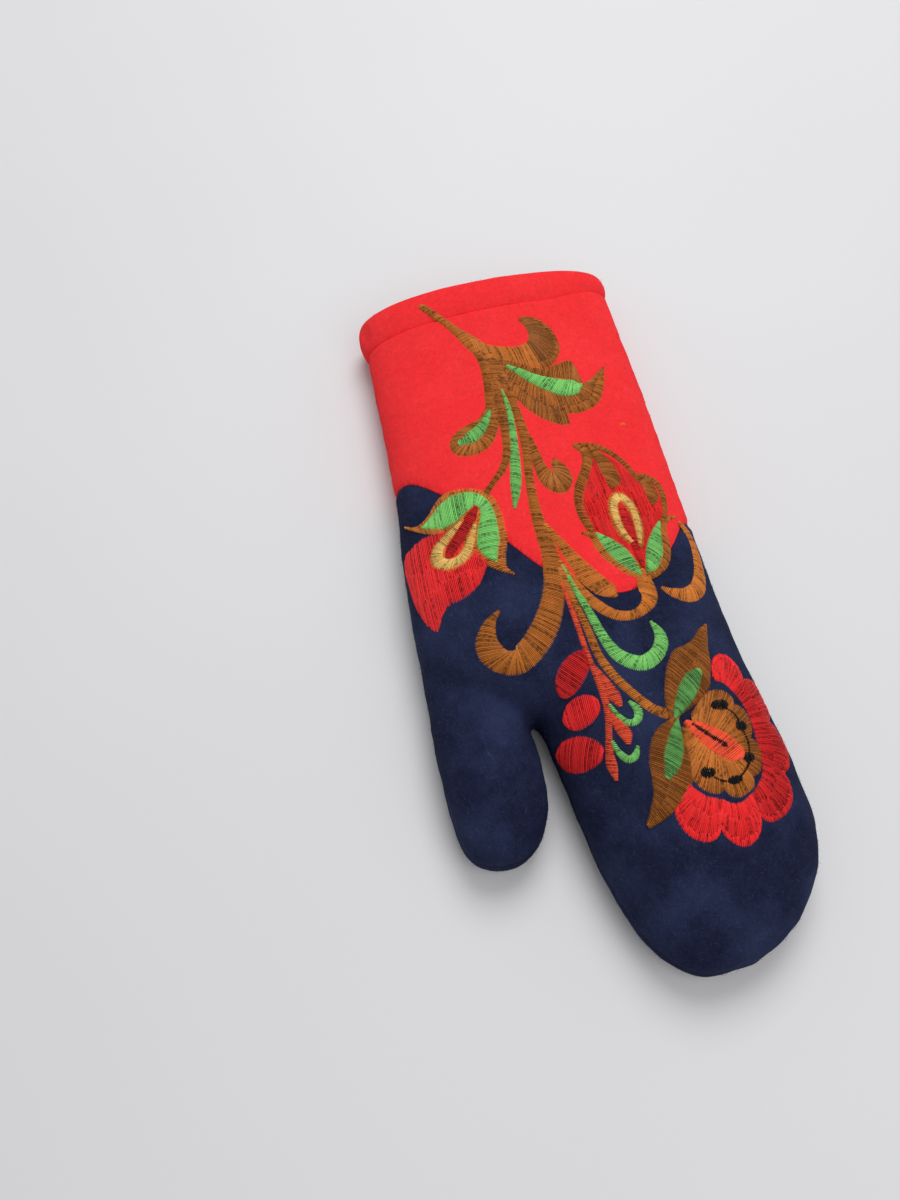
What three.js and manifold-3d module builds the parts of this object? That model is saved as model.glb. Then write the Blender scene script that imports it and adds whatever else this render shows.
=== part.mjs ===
// A winter mitten of thick felt, lying palm down on a flat surface.
// Millimetres, +Z up. In the tables "along" runs from the fingertips (0) to the cuff,
// and "left" is the thumb's side.

import * as THREE from "three";
import { mergeVertices } from "three/addons/utils/BufferGeometryUtils.js";
import Module from "manifold-3d";

// Driving dimensions

const WALL = 3;
const GAP = 0.3;
const SEAM_HEIGHT = 12;
const PALM_DEPTH = 13;
const CREST = 0.42;
const TOP_POWER = 2.15;
const PALM_POWER = 3.2;
const TOP_STEPS = 16;
const PALM_STEPS = 8;

const PANEL_END = 294;
const HEM_START = 282;
const HEM_END = 298.5;
const HEM_CLOTH = 1.6;

const THREAD_LIFT = 0.45;
const THREAD_HEIGHT = 0.6;
const THREAD_STEP = 0.045;
const THREAD_TRIMS = 6;
const THREAD_LEAST = 0.35;
const CHART_AXIS_X = 8;
const CHART_AXIS_Z = -35;
const CHART_RADIUS = 70;
const RIBBON_STEP = 7;
const RIBBON_SLICE = 6;
const PETAL_SLICES = 6;

const NAVY_FELT = 0x1e2240;
const RED_FELT = 0xe42e33;
const BROWN_THREAD = 0x8a5423;
const OCHRE_THREAD = 0xb8762f;
const GREEN_THREAD = 0x62c76c;
const RED_THREAD = 0xd7202c;
const CRIMSON_THREAD = 0xb8141f;
const ORANGE_THREAD = 0xee4a30;
const CREAM_THREAD = 0xe2b96e;

// Sections of the hand: along, left, right, crown above the side seam

const HAND = [
  [0.5, -1, 14, 3],
  [2.5, -6, 20, 6.5],
  [6, -11, 28, 9.5],
  [11, -15.5, 35.5, 12.5],
  [18, -20, 42.5, 15.5],
  [30, -24.2, 49.8, 19],
  [46, -27.4, 53.2, 22],
  [68, -29.4, 53, 24],
  [88, -31.2, 51.4, 25],
  [100, -33, 50.8, 25.5],
  [104, -37, 50.6, 25.7],
  [108, -44, 50.5, 25.8],
  [113, -53, 50.4, 26],
  [120, -62, 50.3, 26],
  [128, -68.5, 50.2, 26],
  [138, -71, 50.2, 25.8],
  [160, -69.2, 50.6, 25],
  [185, -66, 52.2, 23.5],
  [213, -62, 53.8, 21.8],
  [250, -59.3, 55, 19.9],
  [280, -57.6, 55.7, 19],
  [300, -57.2, 56.2, 19],
];

// Sections of the thumb, in the same columns

const THUMB = [
  [54.3, -61, -54, 3],
  [55.5, -65, -50.5, 5.5],
  [58, -69.2, -46.6, 8.5],
  [63, -72.2, -42, 11],
  [71, -73.6, -38.6, 13.5],
  [82, -73.8, -36.8, 15],
  [92, -73.6, -36.2, 15.5],
  [104, -73.3, -36.6, 15],
  [118, -72.4, -38, 13],
  [130, -71.2, -44, 9],
  [140, -69.5, -50, 5],
];

// Height of the palm's cloth above the surface: along, height

const FLOOR = [
  [0, 0],
  [240, 0],
  [262, 0.5],
  [276, 2],
  [300, 2],
];

// Soft dents in the back: x, along, reach across, reach along, depth

const DENTS = [
  [-24, 246, 14, 34, 1.6],
  [24, 262, 20, 16, 0.8],
  [-40, 120, 9, 14, 2.4],
  [36, 182, 12, 40, 1],
  [-2, 30, 22, 9, 0.8],
];

// Seam between the red cuff and the navy hand, on the chart of the back: across, along

const COLOUR_SEAM = [
  [-82, 236],
  [-62, 210],
  [-48, 197],
  [-32, 168],
  [-23, 153],
  [-10, 141],
  [2, 136.5],
  [16, 141],
  [30, 153],
  [47, 165],
  [66, 176],
];

// Embroidery on the chart of the back: across, along, half width

const UPPER_SCROLL = [
  [-30, 278.5, 0.8],
  [-27, 273.5, 2],
  [-22, 264.5, 4],
  [-15, 258, 5.2],
  [-8, 254, 6],
  [-1, 253, 7],
  [6, 255, 7.5],
  [9.5, 261, 7],
  [8.5, 267, 5.5],
  [5, 271, 3.2],
  [1.5, 272.5, 1],
];
const BIG_LEAF_LOWER = [
  [-16, 250, 2],
  [-12, 240, 4.5],
  [-7, 231, 6.5],
  [-2, 224, 6.5],
  [2, 218, 4.5],
  [4, 214.5, 2],
];
const BIG_LEAF_TIP = [
  [-2, 235, 3],
  [5, 229, 5],
  [12, 225.5, 5.5],
  [20, 227, 5.5],
  [25, 232, 4.2],
  [28, 237, 2.6],
  [31, 242, 0.6],
];
const BIG_LEAF_UPPER = [
  [-8, 249, 2],
  [0, 243, 3],
  [8, 242, 4.5],
  [15, 242.5, 5],
  [18, 246.5, 1.5],
];
const BIG_LEAF_CENTRE = [
  [-9, 247.5, 0.8],
  [-2, 240.5, 3],
  [4, 236.5, 4],
  [10, 233.5, 4.8],
  [14.5, 232.5, 3.6],
  [16.5, 233, 1.2],
];
const DROP_LEAF = [
  [-18, 254, 2.5],
  [-21.5, 240, 2.6],
  [-24, 231, 3.5],
  [-27.5, 224.5, 5.5],
  [-31.5, 220, 7.2],
  [-34.5, 217.5, 7.5],
  [-38, 215, 5.5],
  [-40.5, 213.5, 2],
];
const DROP_CENTRE = [
  [-25.5, 227.5, 0.7],
  [-27.5, 224.5, 1.8],
  [-30, 221.5, 2.6],
  [-34, 218.8, 3.2],
  [-37, 217.4, 1.6],
];
const BUD_STEM = [
  [-17.5, 244, 1.6],
  [-20, 228, 1.4],
  [-21.5, 217, 1.6],
  [-23.5, 207, 1.6],
  [-26.5, 200, 1.5],
  [-31, 194.6, 0.9],
];
const BLADE = [
  [-17.2, 228, 0.5],
  [-18.4, 218, 0.9],
  [-19.9, 208, 1.2],
  [-22.5, 198, 1.8],
  [-24.3, 190, 1.7],
  [-26.5, 181, 0.4],
];
const MAIN_STEM = [
  [-14, 244, 2],
  [-14.2, 228, 1.8],
  [-14.5, 215, 2.2],
  [-15.8, 205, 2],
  [-17.8, 195, 1.7],
  [-19.2, 185, 1.9],
  [-20, 175, 2.3],
  [-20, 165, 2.8],
  [-20, 155, 3.2],
  [-21.5, 147, 3.6],
  [-24.5, 138, 4],
  [-29, 129.5, 4.6],
  [-35, 123, 5],
  [-41, 120.8, 5],
  [-45.3, 124, 4.2],
  [-46, 130.5, 3.2],
  [-43.5, 137, 1.8],
  [-40.2, 140.5, 0.5],
];
const COMMA_LEAF = [
  [-14, 212, 1.2],
  [-13.6, 204, 1.9],
  [-13, 196, 2.8],
  [-10.5, 190, 4.2],
  [-7, 188.5, 5.6],
  [-4.8, 192, 3.8],
  [-6, 196.5, 1.8],
  [-7, 199.2, 0.5],
];
const BROAD_BAND = [
  [-18, 170, 1],
  [-15, 161, 2],
  [-12, 152, 3.2],
  [-8.5, 144, 4],
  [-5, 138.5, 3.6],
  [-3, 136, 1.5],
];
const LOWER_LOOP = [
  [-17.5, 153, 1.4],
  [-14.5, 142, 1.8],
  [-10.5, 134, 2.2],
  [-5.5, 128.3, 2.2],
  [0.5, 126.4, 2],
  [6, 128, 2.2],
  [10, 132, 3.3],
  [11, 137, 3.6],
  [11.5, 142.5, 2],
];
const LOWER_STEM = [
  [-18.5, 150, 1.4],
  [-17.5, 138, 1.2],
  [-16.2, 126, 1.4],
  [-15.5, 114, 1.5],
  [-12.8, 105, 1.6],
  [-9, 97.5, 1.6],
  [-4.5, 90.5, 1.6],
  [-1.6, 88, 1.2],
];
const SIDE_HOOK = [
  [17, 135.5, 0.6],
  [21, 133, 2.2],
  [27, 131.5, 3.4],
  [33, 133.5, 3.6],
  [37.5, 139, 3.4],
  [40.5, 146, 3],
  [42, 153, 2.4],
  [41, 160, 1.2],
];
const GREEN_HOOK = [
  [-13.3, 129, 1.1],
  [-11.8, 120, 1.8],
  [-8.8, 112, 2.5],
  [-2.5, 107.3, 3.1],
  [3.5, 108.8, 2.9],
  [7.8, 113.5, 2.6],
  [8.6, 118, 2],
  [7, 122.3, 0.5],
];

const BUD_RIM = [
  [-62.5, 191, 0.5],
  [-58, 186.8, 1.8],
  [-53, 185.3, 4.2],
  [-47, 188, 6.6],
  [-41.5, 190, 6],
  [-37, 187, 5.6],
  [-35.9, 180.5, 4.8],
  [-37, 174, 5],
  [-38, 168, 4.6],
  [-37, 161.5, 3.2],
  [-35, 157, 1.9],
  [-33, 153.5, 0.5],
];
const BUD_CALYX = [
  [-55, 185.9, 1],
  [-52, 186, 2.8],
  [-47, 188, 4.6],
  [-42, 189.8, 4.4],
  [-38, 186.6, 4],
  [-36.6, 181, 3.3],
  [-37.2, 175, 3.4],
  [-38, 168.5, 3.2],
  [-37.4, 163, 1.4],
];
const BUD_LOOP = [
  [-46.5, 178.2, 0.8],
  [-49.5, 175.8, 1.5],
  [-52.4, 173, 2.1],
  [-53, 169, 2.3],
  [-50.5, 165.6, 2.4],
  [-46.8, 165.6, 2],
  [-45, 168.2, 1.1],
];
const BUD_CORE = [
  [-44.4, 176.5, 1.1],
  [-46.5, 173.6, 1.9],
  [-48.6, 170.6, 1.6],
];

const TULIP_LEFT_RIM = [
  [-3.2, 168, 1.6],
  [-3, 172, 2.1],
  [-2.3, 178, 2],
  [0.5, 184.5, 1.7],
  [4.5, 190, 1.8],
  [7, 196, 2],
  [6.5, 200.5, 2],
  [3.5, 203.8, 0.6],
];
const TULIP_RIGHT_RIM = [
  [5, 202.4, 1.4],
  [9, 203, 1],
  [15, 200.5, 1.3],
  [20, 196, 1.3],
  [24, 190, 1.3],
  [26, 186.2, 1.5],
  [30, 186.2, 1.2],
  [34.5, 183, 1.4],
  [35.3, 177, 1.4],
  [33.5, 171, 1.3],
  [31.8, 168, 1],
];
const TULIP_DROP = [
  [11, 197.6, 1],
  [12, 195, 2.4],
  [13.4, 190.5, 3.6],
  [13.6, 186, 4.2],
  [12.4, 182.6, 2],
];
const TULIP_SIDE_DROP = [
  [28, 182.4, 1.2],
  [28.4, 179.4, 2.4],
  [27.6, 176, 2.4],
  [27, 173.6, 1],
];
const TULIP_LOOP = [
  [9.2, 162.5, 1.3],
  [8.8, 168, 1.7],
  [10, 173.6, 2],
  [13.3, 176.3, 2.2],
  [16.6, 173.2, 2],
  [17.1, 167, 1.8],
  [15.9, 162, 1.3],
];
const TULIP_CORE = [
  [12.9, 171.4, 1.2],
  [13, 167.5, 1.9],
  [12.7, 162, 1.7],
  [12.2, 156, 1.4],
  [12, 149, 0.9],
];
const TULIP_LEFT_LEAF = [
  [-6, 163.5, 0.5],
  [-2.5, 161.5, 1.6],
  [0.8, 156.5, 4.2],
  [4.5, 150.5, 5.2],
  [7.8, 144.5, 3.8],
  [11, 140.4, 1.2],
];
const TULIP_LEFT_CENTRE = [
  [0.6, 159.5, 0.8],
  [2.2, 156.5, 2.2],
  [5, 151.5, 3],
  [7.3, 147, 2.2],
  [8.8, 144.2, 0.7],
];
const TULIP_RIGHT_LEAF = [
  [37, 165.8, 0.5],
  [32, 163.8, 1],
  [27, 160.5, 2.4],
  [23.6, 154.5, 4.2],
  [19.6, 148, 4],
  [15.5, 143, 2.2],
  [11.6, 140.4, 1.2],
];
const TULIP_RIGHT_CENTRE = [
  [25.8, 158.8, 0.8],
  [24, 155.6, 2],
  [21, 151, 2.6],
  [17.6, 146.6, 1.9],
  [15.6, 144.6, 0.7],
];

const BERRY_UPPER = [
  [-21, 114.6, 1.4],
  [-23, 112.4, 3.6],
  [-26, 109.5, 4.8],
  [-30, 106, 3],
  [-32, 104.6, 1],
];
const BERRY_MIDDLE = [
  [-34.8, 96.3, 1],
  [-32, 96.4, 3.8],
  [-28, 96.4, 5.8],
  [-23.5, 96.5, 4.8],
  [-21.4, 96.6, 2.4],
];
const BERRY_LOWER = [
  [-43, 86.4, 1.2],
  [-39.5, 85, 4],
  [-35, 83, 6],
  [-29.5, 81.2, 5],
  [-26.6, 80.4, 2],
];
const BERRY_STALK = [
  [-19, 117, 0.6],
  [-18.6, 108, 1],
  [-18.4, 100, 1.2],
  [-19, 93, 1.2],
  [-21, 86, 1.2],
  [-22.8, 80, 1.5],
  [-23.6, 75, 2],
  [-23.8, 70, 0.6],
];
const LEAFLET_UPPER = [
  [-18, 106, 0.6],
  [-16.5, 101, 1.9],
  [-15.3, 96.5, 1.7],
  [-14.8, 94, 0.5],
];
const LEAFLET_LOWER = [
  [-19.4, 91.5, 0.8],
  [-17, 87, 1.6],
  [-16, 83, 1.6],
  [-16.2, 80, 0.5],
];
const TENDRIL_UPPER = [
  [-14, 90.4, 0.5],
  [-12.8, 87.8, 0.9],
  [-10.5, 87.4, 1.3],
  [-9, 91, 1.4],
  [-10.6, 94.3, 0.5],
];
const TENDRIL_LOWER = [
  [-19.6, 80.6, 0.6],
  [-19.2, 77.4, 1],
  [-17.2, 75.2, 1.3],
  [-14.8, 75.8, 1.2],
  [-13.3, 78, 0.5],
];

const PAIR_UPPER_LEAF = [
  [0, 84, 2],
  [4.5, 90.5, 4.4],
  [9.5, 97.5, 6.2],
  [15, 103, 6],
  [20, 107.5, 4.6],
  [24, 112, 2.6],
  [28.5, 117.3, 0.5],
];
const PAIR_UPPER_CENTRE = [
  [4.6, 88.6, 0.9],
  [6, 90.2, 1.7],
  [9, 93.2, 2.4],
  [13, 96.3, 2.2],
  [15.6, 98, 0.7],
];
const PAIR_LOWER_LEAF = [
  [3, 88, 2],
  [-1.5, 78, 5],
  [-4.5, 71, 6.6],
  [-8, 64, 5.8],
  [-12.5, 58, 3.2],
  [-19, 51.5, 0.5],
];
const PAIR_LOWER_CENTRE = [
  [0.8, 80.6, 0.9],
  [-0.6, 77.8, 1.9],
  [-3, 73, 2.3],
  [-5.5, 68.5, 1.9],
  [-7.3, 66.2, 0.6],
];
const PETAL_ROWS = [
  [
    [22, 98, 1],
    [24.5, 98.5, 5],
    [29, 98.5, 7],
    [33.5, 97.5, 6.5],
    [36, 94, 5],
  ],
  [
    [33.5, 96, 2],
    [36, 92, 7.5],
    [38.5, 87, 9.5],
    [38, 81.5, 8],
    [36, 77, 5.5],
  ],
  [
    [36.5, 79, 5],
    [37.5, 73, 8.5],
    [37.2, 67.5, 9.3],
    [35.6, 62, 7.5],
    [33.4, 57.5, 5],
  ],
  [
    [35, 60, 3],
    [32, 55, 7],
    [29, 51.5, 8.3],
    [25, 49, 7.5],
    [20, 47.6, 5],
  ],
  [
    [21, 49, 4.5],
    [16, 45.5, 7.6],
    [12.5, 44.6, 8],
    [8.5, 46.5, 7.5],
    [4, 49.5, 6],
  ],
  [
    [6, 49.5, 6],
    [2.5, 50.8, 8],
    [-1, 52.6, 8.6],
    [-4, 55.5, 6.4],
    [-5.4, 58.4, 3],
  ],
];
const FLOWER_HEART = [
  [13, 87, 1.5],
  [18, 86, 4.6],
  [22.6, 81.6, 5.6],
  [23.4, 75, 5.2],
  [22.4, 67.6, 5.2],
  [18.6, 61.6, 5.4],
  [13, 59.5, 5.4],
  [8, 62, 5],
  [5.6, 67, 3.4],
  [6, 71, 1],
];
const FLOWER_TONGUE = [
  [6.4, 80.6, 1],
  [9, 78, 2.8],
  [13, 74, 4.2],
  [16, 71, 4.2],
  [17.4, 69, 2.4],
];

// Filled petals, column by column: across, lowest along, highest along

const BUD_PETAL = [
  [-65.6, 158, 177],
  [-62, 147, 179.5],
  [-58, 141.8, 180.3],
  [-54, 148.8, 180],
  [-50, 149.8, 179.6],
  [-46.5, 150.8, 178.4],
  [-44, 154, 169.5],
  [-42.4, 156.5, 160.5],
];
const TULIP_PETALS = [
  [0.2, 168, 177],
  [3, 163, 184],
  [7, 158.4, 189],
  [10, 154, 196.6],
  [13, 148, 198.4],
  [16, 153.5, 197.4],
  [19, 160.5, 194.6],
  [22, 164, 190],
  [25, 165.6, 184],
  [28, 167, 183.6],
  [31, 170, 183],
  [32.6, 174, 180.6],
];

// Solid modelling helpers

const wasm = await Module();
wasm.setup();

function solidFrom(geometry) {
  const bare = geometry.index ? geometry.clone() : geometry;
  bare.deleteAttribute("normal");
  bare.deleteAttribute("uv");
  const merged = mergeVertices(bare, 1e-4);
  const mesh = new wasm.Mesh({
    numProp: 3,
    vertProperties: new Float32Array(merged.attributes.position.array),
    triVerts: new Uint32Array(merged.index.array),
  });
  return new wasm.Manifold(mesh);
}

function geometryFrom(solid) {
  const mesh = solid.getMesh();
  const geometry = new THREE.BufferGeometry();
  geometry.setAttribute("position", new THREE.BufferAttribute(mesh.vertProperties, 3));
  geometry.setIndex(new THREE.BufferAttribute(mesh.triVerts, 1));
  geometry.computeVertexNormals();
  return geometry;
}

function centreOf(ring) {
  const centre = new THREE.Vector3();
  for (const point of ring) {
    centre.addScaledVector(point, 1 / ring.length);
  }
  return centre;
}

// Closed body through rings of equal length, with a fan over each end

function loft(rings) {
  const count = rings[0].length;
  const points = rings.flat();
  const faces = [];
  for (let row = 0; row + 1 < rings.length; row++) {
    for (let i = 0; i < count; i++) {
      const a = row * count + i;
      const b = row * count + ((i + 1) % count);
      faces.push(a, b, b + count, a, b + count, a + count);
    }
  }
  const last = (rings.length - 1) * count;
  const firstCentre = points.push(centreOf(rings[0])) - 1;
  const lastCentre = points.push(centreOf(rings[rings.length - 1])) - 1;
  for (let i = 0; i < count; i++) {
    const next = (i + 1) % count;
    faces.push(firstCentre, next, i, lastCentre, last + i, last + next);
  }
  const geometry = new THREE.BufferGeometry().setFromPoints(points);
  geometry.setIndex(faces);
  return solidFrom(geometry);
}

function box(xMin, xMax, yMin, yMax, zMin, zMax) {
  const geometry = new THREE.BoxGeometry(xMax - xMin, yMax - yMin, zMax - zMin);
  geometry.translate((xMin + xMax) / 2, (yMin + yMax) / 2, (zMin + zMax) / 2);
  return solidFrom(geometry);
}

// Smooth curve through [along, value] points that never overshoots them

function smoothCurve(points) {
  const slopes = points.slice(1).map((p, i) => (p[1] - points[i][1]) / (p[0] - points[i][0]));
  const tangents = points.map((_, i) => {
    const before = slopes[Math.max(i - 1, 0)];
    const after = slopes[Math.min(i, slopes.length - 1)];
    return before * after <= 0 ? 0 : (2 * before * after) / (before + after);
  });
  return (along) => {
    let i = 0;
    while (i < points.length - 2 && along > points[i + 1][0]) {
      i++;
    }
    const span = points[i + 1][0] - points[i][0];
    const t = (along - points[i][0]) / span;
    const blend = t * t * (3 - 2 * t);
    const swing = tangents[i] * (1 - t) * (1 - t) * t - tangents[i + 1] * t * t * (1 - t);
    return points[i][1] * (1 - blend) + points[i + 1][1] * blend + swing * span;
  };
}

// The same curve moved inwards by a distance; side is 1 for right or top, -1 for left

function insetPoints(points, side, distance) {
  const curve = smoothCurve(points);
  const delta = 0.1;
  return points.map(([along, value]) => {
    const slope = (curve(along + delta) - curve(along - delta)) / (2 * delta);
    const length = Math.hypot(1, slope);
    return [along + (side * distance * slope) / length, value - (side * distance) / length];
  });
}

// A tube of cloth worked out from its table, moved inwards by a distance

function outline(table, inset) {
  const left = table.map((row) => [row[0], row[1]]);
  const right = table.map((row) => [row[0], row[2]]);
  const crown = table.map((row) => [row[0], row[3]]);
  return {
    left: smoothCurve(insetPoints(left, -1, inset)),
    right: smoothCurve(insetPoints(right, 1, inset)),
    crown: smoothCurve(insetPoints(crown, 1, inset)),
    inset,
  };
}

const floorHeight = smoothCurve(FLOOR);

function dentDepth(x, along) {
  let depth = 0;
  for (const [dentX, dentAlong, acrossReach, alongReach, dentMost] of DENTS) {
    const away = ((x - dentX) / acrossReach) ** 2 + ((along - dentAlong) / alongReach) ** 2;
    depth += dentMost * Math.exp(-away);
  }
  return depth;
}

function section(tube, along) {
  const left = tube.left(along);
  const right = tube.right(along);
  const crown = tube.crown(along);
  const crest = left + CREST * (right - left);
  const middle = (left + right) / 2;
  const floor = floorHeight(along) + tube.inset;
  const ring = [];
  for (let i = 0; i <= TOP_STEPS; i++) {
    const angle = (Math.PI * i) / TOP_STEPS;
    const side = Math.sign(Math.cos(angle)) * Math.abs(Math.cos(angle)) ** (2 / TOP_POWER);
    const rise = Math.sin(angle) ** (2 / TOP_POWER);
    const x = crest + side * (side > 0 ? right - crest : crest - left);
    const z = SEAM_HEIGHT + crown * Math.max(rise, 0) - dentDepth(x, along) * Math.max(rise, 0);
    ring.push(new THREE.Vector3(x, along, z));
  }
  for (let i = 1; i < PALM_STEPS; i++) {
    const angle = Math.PI + (Math.PI * i) / PALM_STEPS;
    const side = Math.sign(Math.cos(angle)) * Math.abs(Math.cos(angle)) ** (2 / PALM_POWER);
    const sink = Math.abs(Math.sin(angle)) ** (2 / PALM_POWER) * (PALM_DEPTH - tube.inset);
    const x = middle + (side * (right - left)) / 2;
    ring.push(new THREE.Vector3(x, along, Math.max(floor, SEAM_HEIGHT - sink)));
  }
  return ring.reverse();
}

function tubeSolid(tube, stations) {
  return loft(stations.map((along) => section(tube, along)));
}

function evenSteps(from, to, count) {
  return Array.from({ length: count + 1 }, (_, i) => from + ((to - from) * i) / count);
}

// Felt panels

const HAND_STATIONS = [0.5, 1.6, 3.4, 6, 9.5, 14, 20, 30, 44, 60, 78, 92, 100];
const CROTCH_STATIONS = [103, 106, 109, 113, 118, 124, 131, 138];
const FOREARM_STATIONS = evenSteps(150, PANEL_END, 11);
const INNER_STATIONS = [3.6, 6, 10, 17, 30, 52, 80, 98, 104, 109, 115, 122, 131];
const INNER_FOREARM = evenSteps(144, PANEL_END + 6, 9);
const THUMB_STATIONS = [54.3, 55.2, 57, 60, 64.5, 72, 86, 104, 118, 130, 140];
const INNER_THUMB = [57.4, 59, 62, 68, 80, 96, 112, 126, 138];

const handTube = outline(HAND, 0);
const handHollow = outline(HAND, WALL);
const thumbTube = outline(THUMB, 0);
const thumbHollow = outline(THUMB, WALL);

function mittenShell() {
  const hand = tubeSolid(handTube, [...HAND_STATIONS, ...CROTCH_STATIONS, ...FOREARM_STATIONS]);
  const thumb = tubeSolid(thumbTube, THUMB_STATIONS);
  const hollow = tubeSolid(handHollow, [...INNER_STATIONS, ...INNER_FOREARM]);
  const thumbSpace = tubeSolid(thumbHollow, INNER_THUMB);
  return hand.add(thumb).subtract(hollow).subtract(thumbSpace);
}

// Chart of the back: a point of the felt's surface, and its outward direction

function backHeight(x, along) {
  const left = handTube.left(along);
  const right = handTube.right(along);
  const crest = left + CREST * (right - left);
  const away = x < crest ? (crest - x) / (crest - left) : (x - crest) / (right - crest);
  const rise = (1 - Math.min(away, 1) ** TOP_POWER) ** (1 / TOP_POWER);
  return SEAM_HEIGHT + (handTube.crown(along) - dentDepth(x, along)) * rise;
}

function onBack(across, along) {
  const angle = across / CHART_RADIUS;
  let inside = 20;
  let outside = 110;
  for (let i = 0; i < 26; i++) {
    const reach = (inside + outside) / 2;
    const x = CHART_AXIS_X + reach * Math.sin(angle);
    const z = CHART_AXIS_Z + reach * Math.cos(angle);
    const covered = x > handTube.left(along) && x < handTube.right(along) && z < backHeight(x, along);
    if (covered) {
      inside = reach;
    } else {
      outside = reach;
    }
  }
  const x = CHART_AXIS_X + inside * Math.sin(angle);
  return new THREE.Vector3(x, along, CHART_AXIS_Z + inside * Math.cos(angle));
}

function liftedFromBack(across, along, lift) {
  const delta = 0.4;
  const point = onBack(across, along);
  const sideways = onBack(across + delta, along).sub(onBack(across - delta, along));
  const lengthways = onBack(across, along + delta).sub(onBack(across, along - delta));
  const outward = sideways.cross(lengthways).normalize();
  return point.addScaledVector(outward, lift);
}

// Cutters: above or below the side seam, towards the hand or the cuff

const FAR = 400;
const upperHalf = box(-FAR, FAR, -FAR, FAR, SEAM_HEIGHT + GAP / 2, FAR);
const lowerHalf = box(-FAR, FAR, -FAR, FAR, -FAR, SEAM_HEIGHT - GAP / 2);

function cuffRegion(shift) {
  const seamPoints = COLOUR_SEAM.map(([across, along]) => {
    const point = onBack(across, along);
    return new THREE.Vector2(point.x, along + shift);
  });
  seamPoints[0].x = -FAR;
  seamPoints[seamPoints.length - 1].x = FAR;
  const middle = new THREE.SplineCurve(seamPoints.slice(1, -1)).getPoints(28);
  const shape = new THREE.Shape([seamPoints[0], ...middle, seamPoints[seamPoints.length - 1]]);
  shape.lineTo(FAR, FAR);
  shape.lineTo(-FAR, FAR);
  const prism = new THREE.ExtrudeGeometry(shape, { depth: 2 * FAR, bevelEnabled: false });
  prism.translate(0, 0, -FAR);
  return solidFrom(prism);
}

const cuffSide = cuffRegion(GAP);
const handSide = box(-FAR, FAR, -FAR, FAR, -FAR, FAR).subtract(cuffRegion(-GAP / 3));

// Hem: a folded strip of felt that takes in the cuff's edge from both sides

function cuffRing(offset, from, to) {
  const tube = outline(HAND, -offset);
  return tubeSolid(tube, [from, to]);
}

function hemBody() {
  const outside = WALL + GAP + HEM_CLOTH;
  const ease = 1.1;
  const tube = outline(HAND, -(GAP + HEM_CLOTH));
  const slim = outline(HAND, -(GAP + HEM_CLOTH - ease));
  const stations = [HEM_START + ease, (HEM_START + HEM_END) / 2, HEM_END - 2 * ease];
  const rings = stations.map((along) => section(tube, along));
  rings.unshift(section(slim, HEM_START));
  rings.push(section(slim, HEM_END));
  const throat = cuffRing(-outside, HEM_START - 1, HEM_END + 1);
  const channelOuter = cuffRing(GAP, HEM_START - 1, PANEL_END + GAP);
  const channelInner = cuffRing(-WALL - GAP, HEM_START - 2, PANEL_END + GAP + 1);
  return loft(rings).subtract(throat).subtract(channelOuter.subtract(channelInner));
}

// Embroidery: flat bodies of thread that follow the felt, through lines of [across, along]
// Level 0 lies on the felt and level 1 on the threads below it; grow widens a body all round

function threadBody(lines, slices, { level = 0, trim = 0, grow = 0 } = {}) {
  const base = THREAD_LIFT + level * (THREAD_HEIGHT + GAP);
  const low = base + trim - grow;
  const high = base + THREAD_HEIGHT - trim + grow;
  const rings = lines.map(([from, to]) => {
    const spots = evenSteps(0, 1, slices).map((t) => from.clone().lerp(to, t));
    const lower = spots.map((spot) => liftedFromBack(spot.x, spot.y, low));
    const upper = spots.reverse().map((spot) => liftedFromBack(spot.x, spot.y, high));
    return [...lower, ...upper];
  });
  return loft(rings);
}

function slicesFor(width) {
  return Math.ceil(width / RIBBON_SLICE);
}

function ribbon(rows, options = {}) {
  const spine = new THREE.CatmullRomCurve3(rows.map(([a, l, half]) => new THREE.Vector3(a, l, half)));
  const steps = Math.max(4, Math.round(spine.getLength() / RIBBON_STEP));
  const lines = evenSteps(0, 1, steps).map((t) => {
    const at = spine.getPointAt(t);
    const way = spine.getTangentAt(t).setZ(0).normalize();
    const half = Math.max(at.z, THREAD_LEAST) + (options.grow ?? 0);
    const aside = new THREE.Vector2(-way.y, way.x).multiplyScalar(half);
    const middle = new THREE.Vector2(at.x, at.y);
    return [middle.clone().sub(aside), middle.add(aside)];
  });
  return threadBody(lines, slicesFor(2 * Math.max(...rows.map((row) => row[2]))), options);
}

function filledPetal(columns) {
  const lows = new THREE.SplineCurve(columns.map(([a, low]) => new THREE.Vector2(a, low)));
  const highs = new THREE.SplineCurve(columns.map(([a, , high]) => new THREE.Vector2(a, high)));
  const steps = columns.length + 1;
  const lines = evenSteps(0, 1, steps).map((t) => [lows.getPoint(t), highs.getPoint(t)]);
  return threadBody(lines, PETAL_SLICES);
}

// Ribbons of one thread that cross are one body, and each is a little thinner than the last

function embroidery(ribbons, level) {
  const bodies = ribbons.map((rows, i) => ribbon(rows, { level, trim: (i % THREAD_TRIMS) * THREAD_STEP }));
  return bodies.reduce((whole, body) => whole.add(body));
}

// The assembly

const mitten = new THREE.Group();

function addPiece(name, solid, color, roughness) {
  const material = new THREE.MeshStandardMaterial({ color, roughness, metalness: 0 });
  const mesh = new THREE.Mesh(geometryFrom(solid), material);
  mesh.name = name;
  mitten.add(mesh);
}

function addFelt(name, solid, color) {
  addPiece(name, solid, color, 0.95);
}

function addThread(name, color, ribbons, level = 0) {
  addPiece(name, embroidery(ribbons, level), color, 0.5);
}

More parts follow.
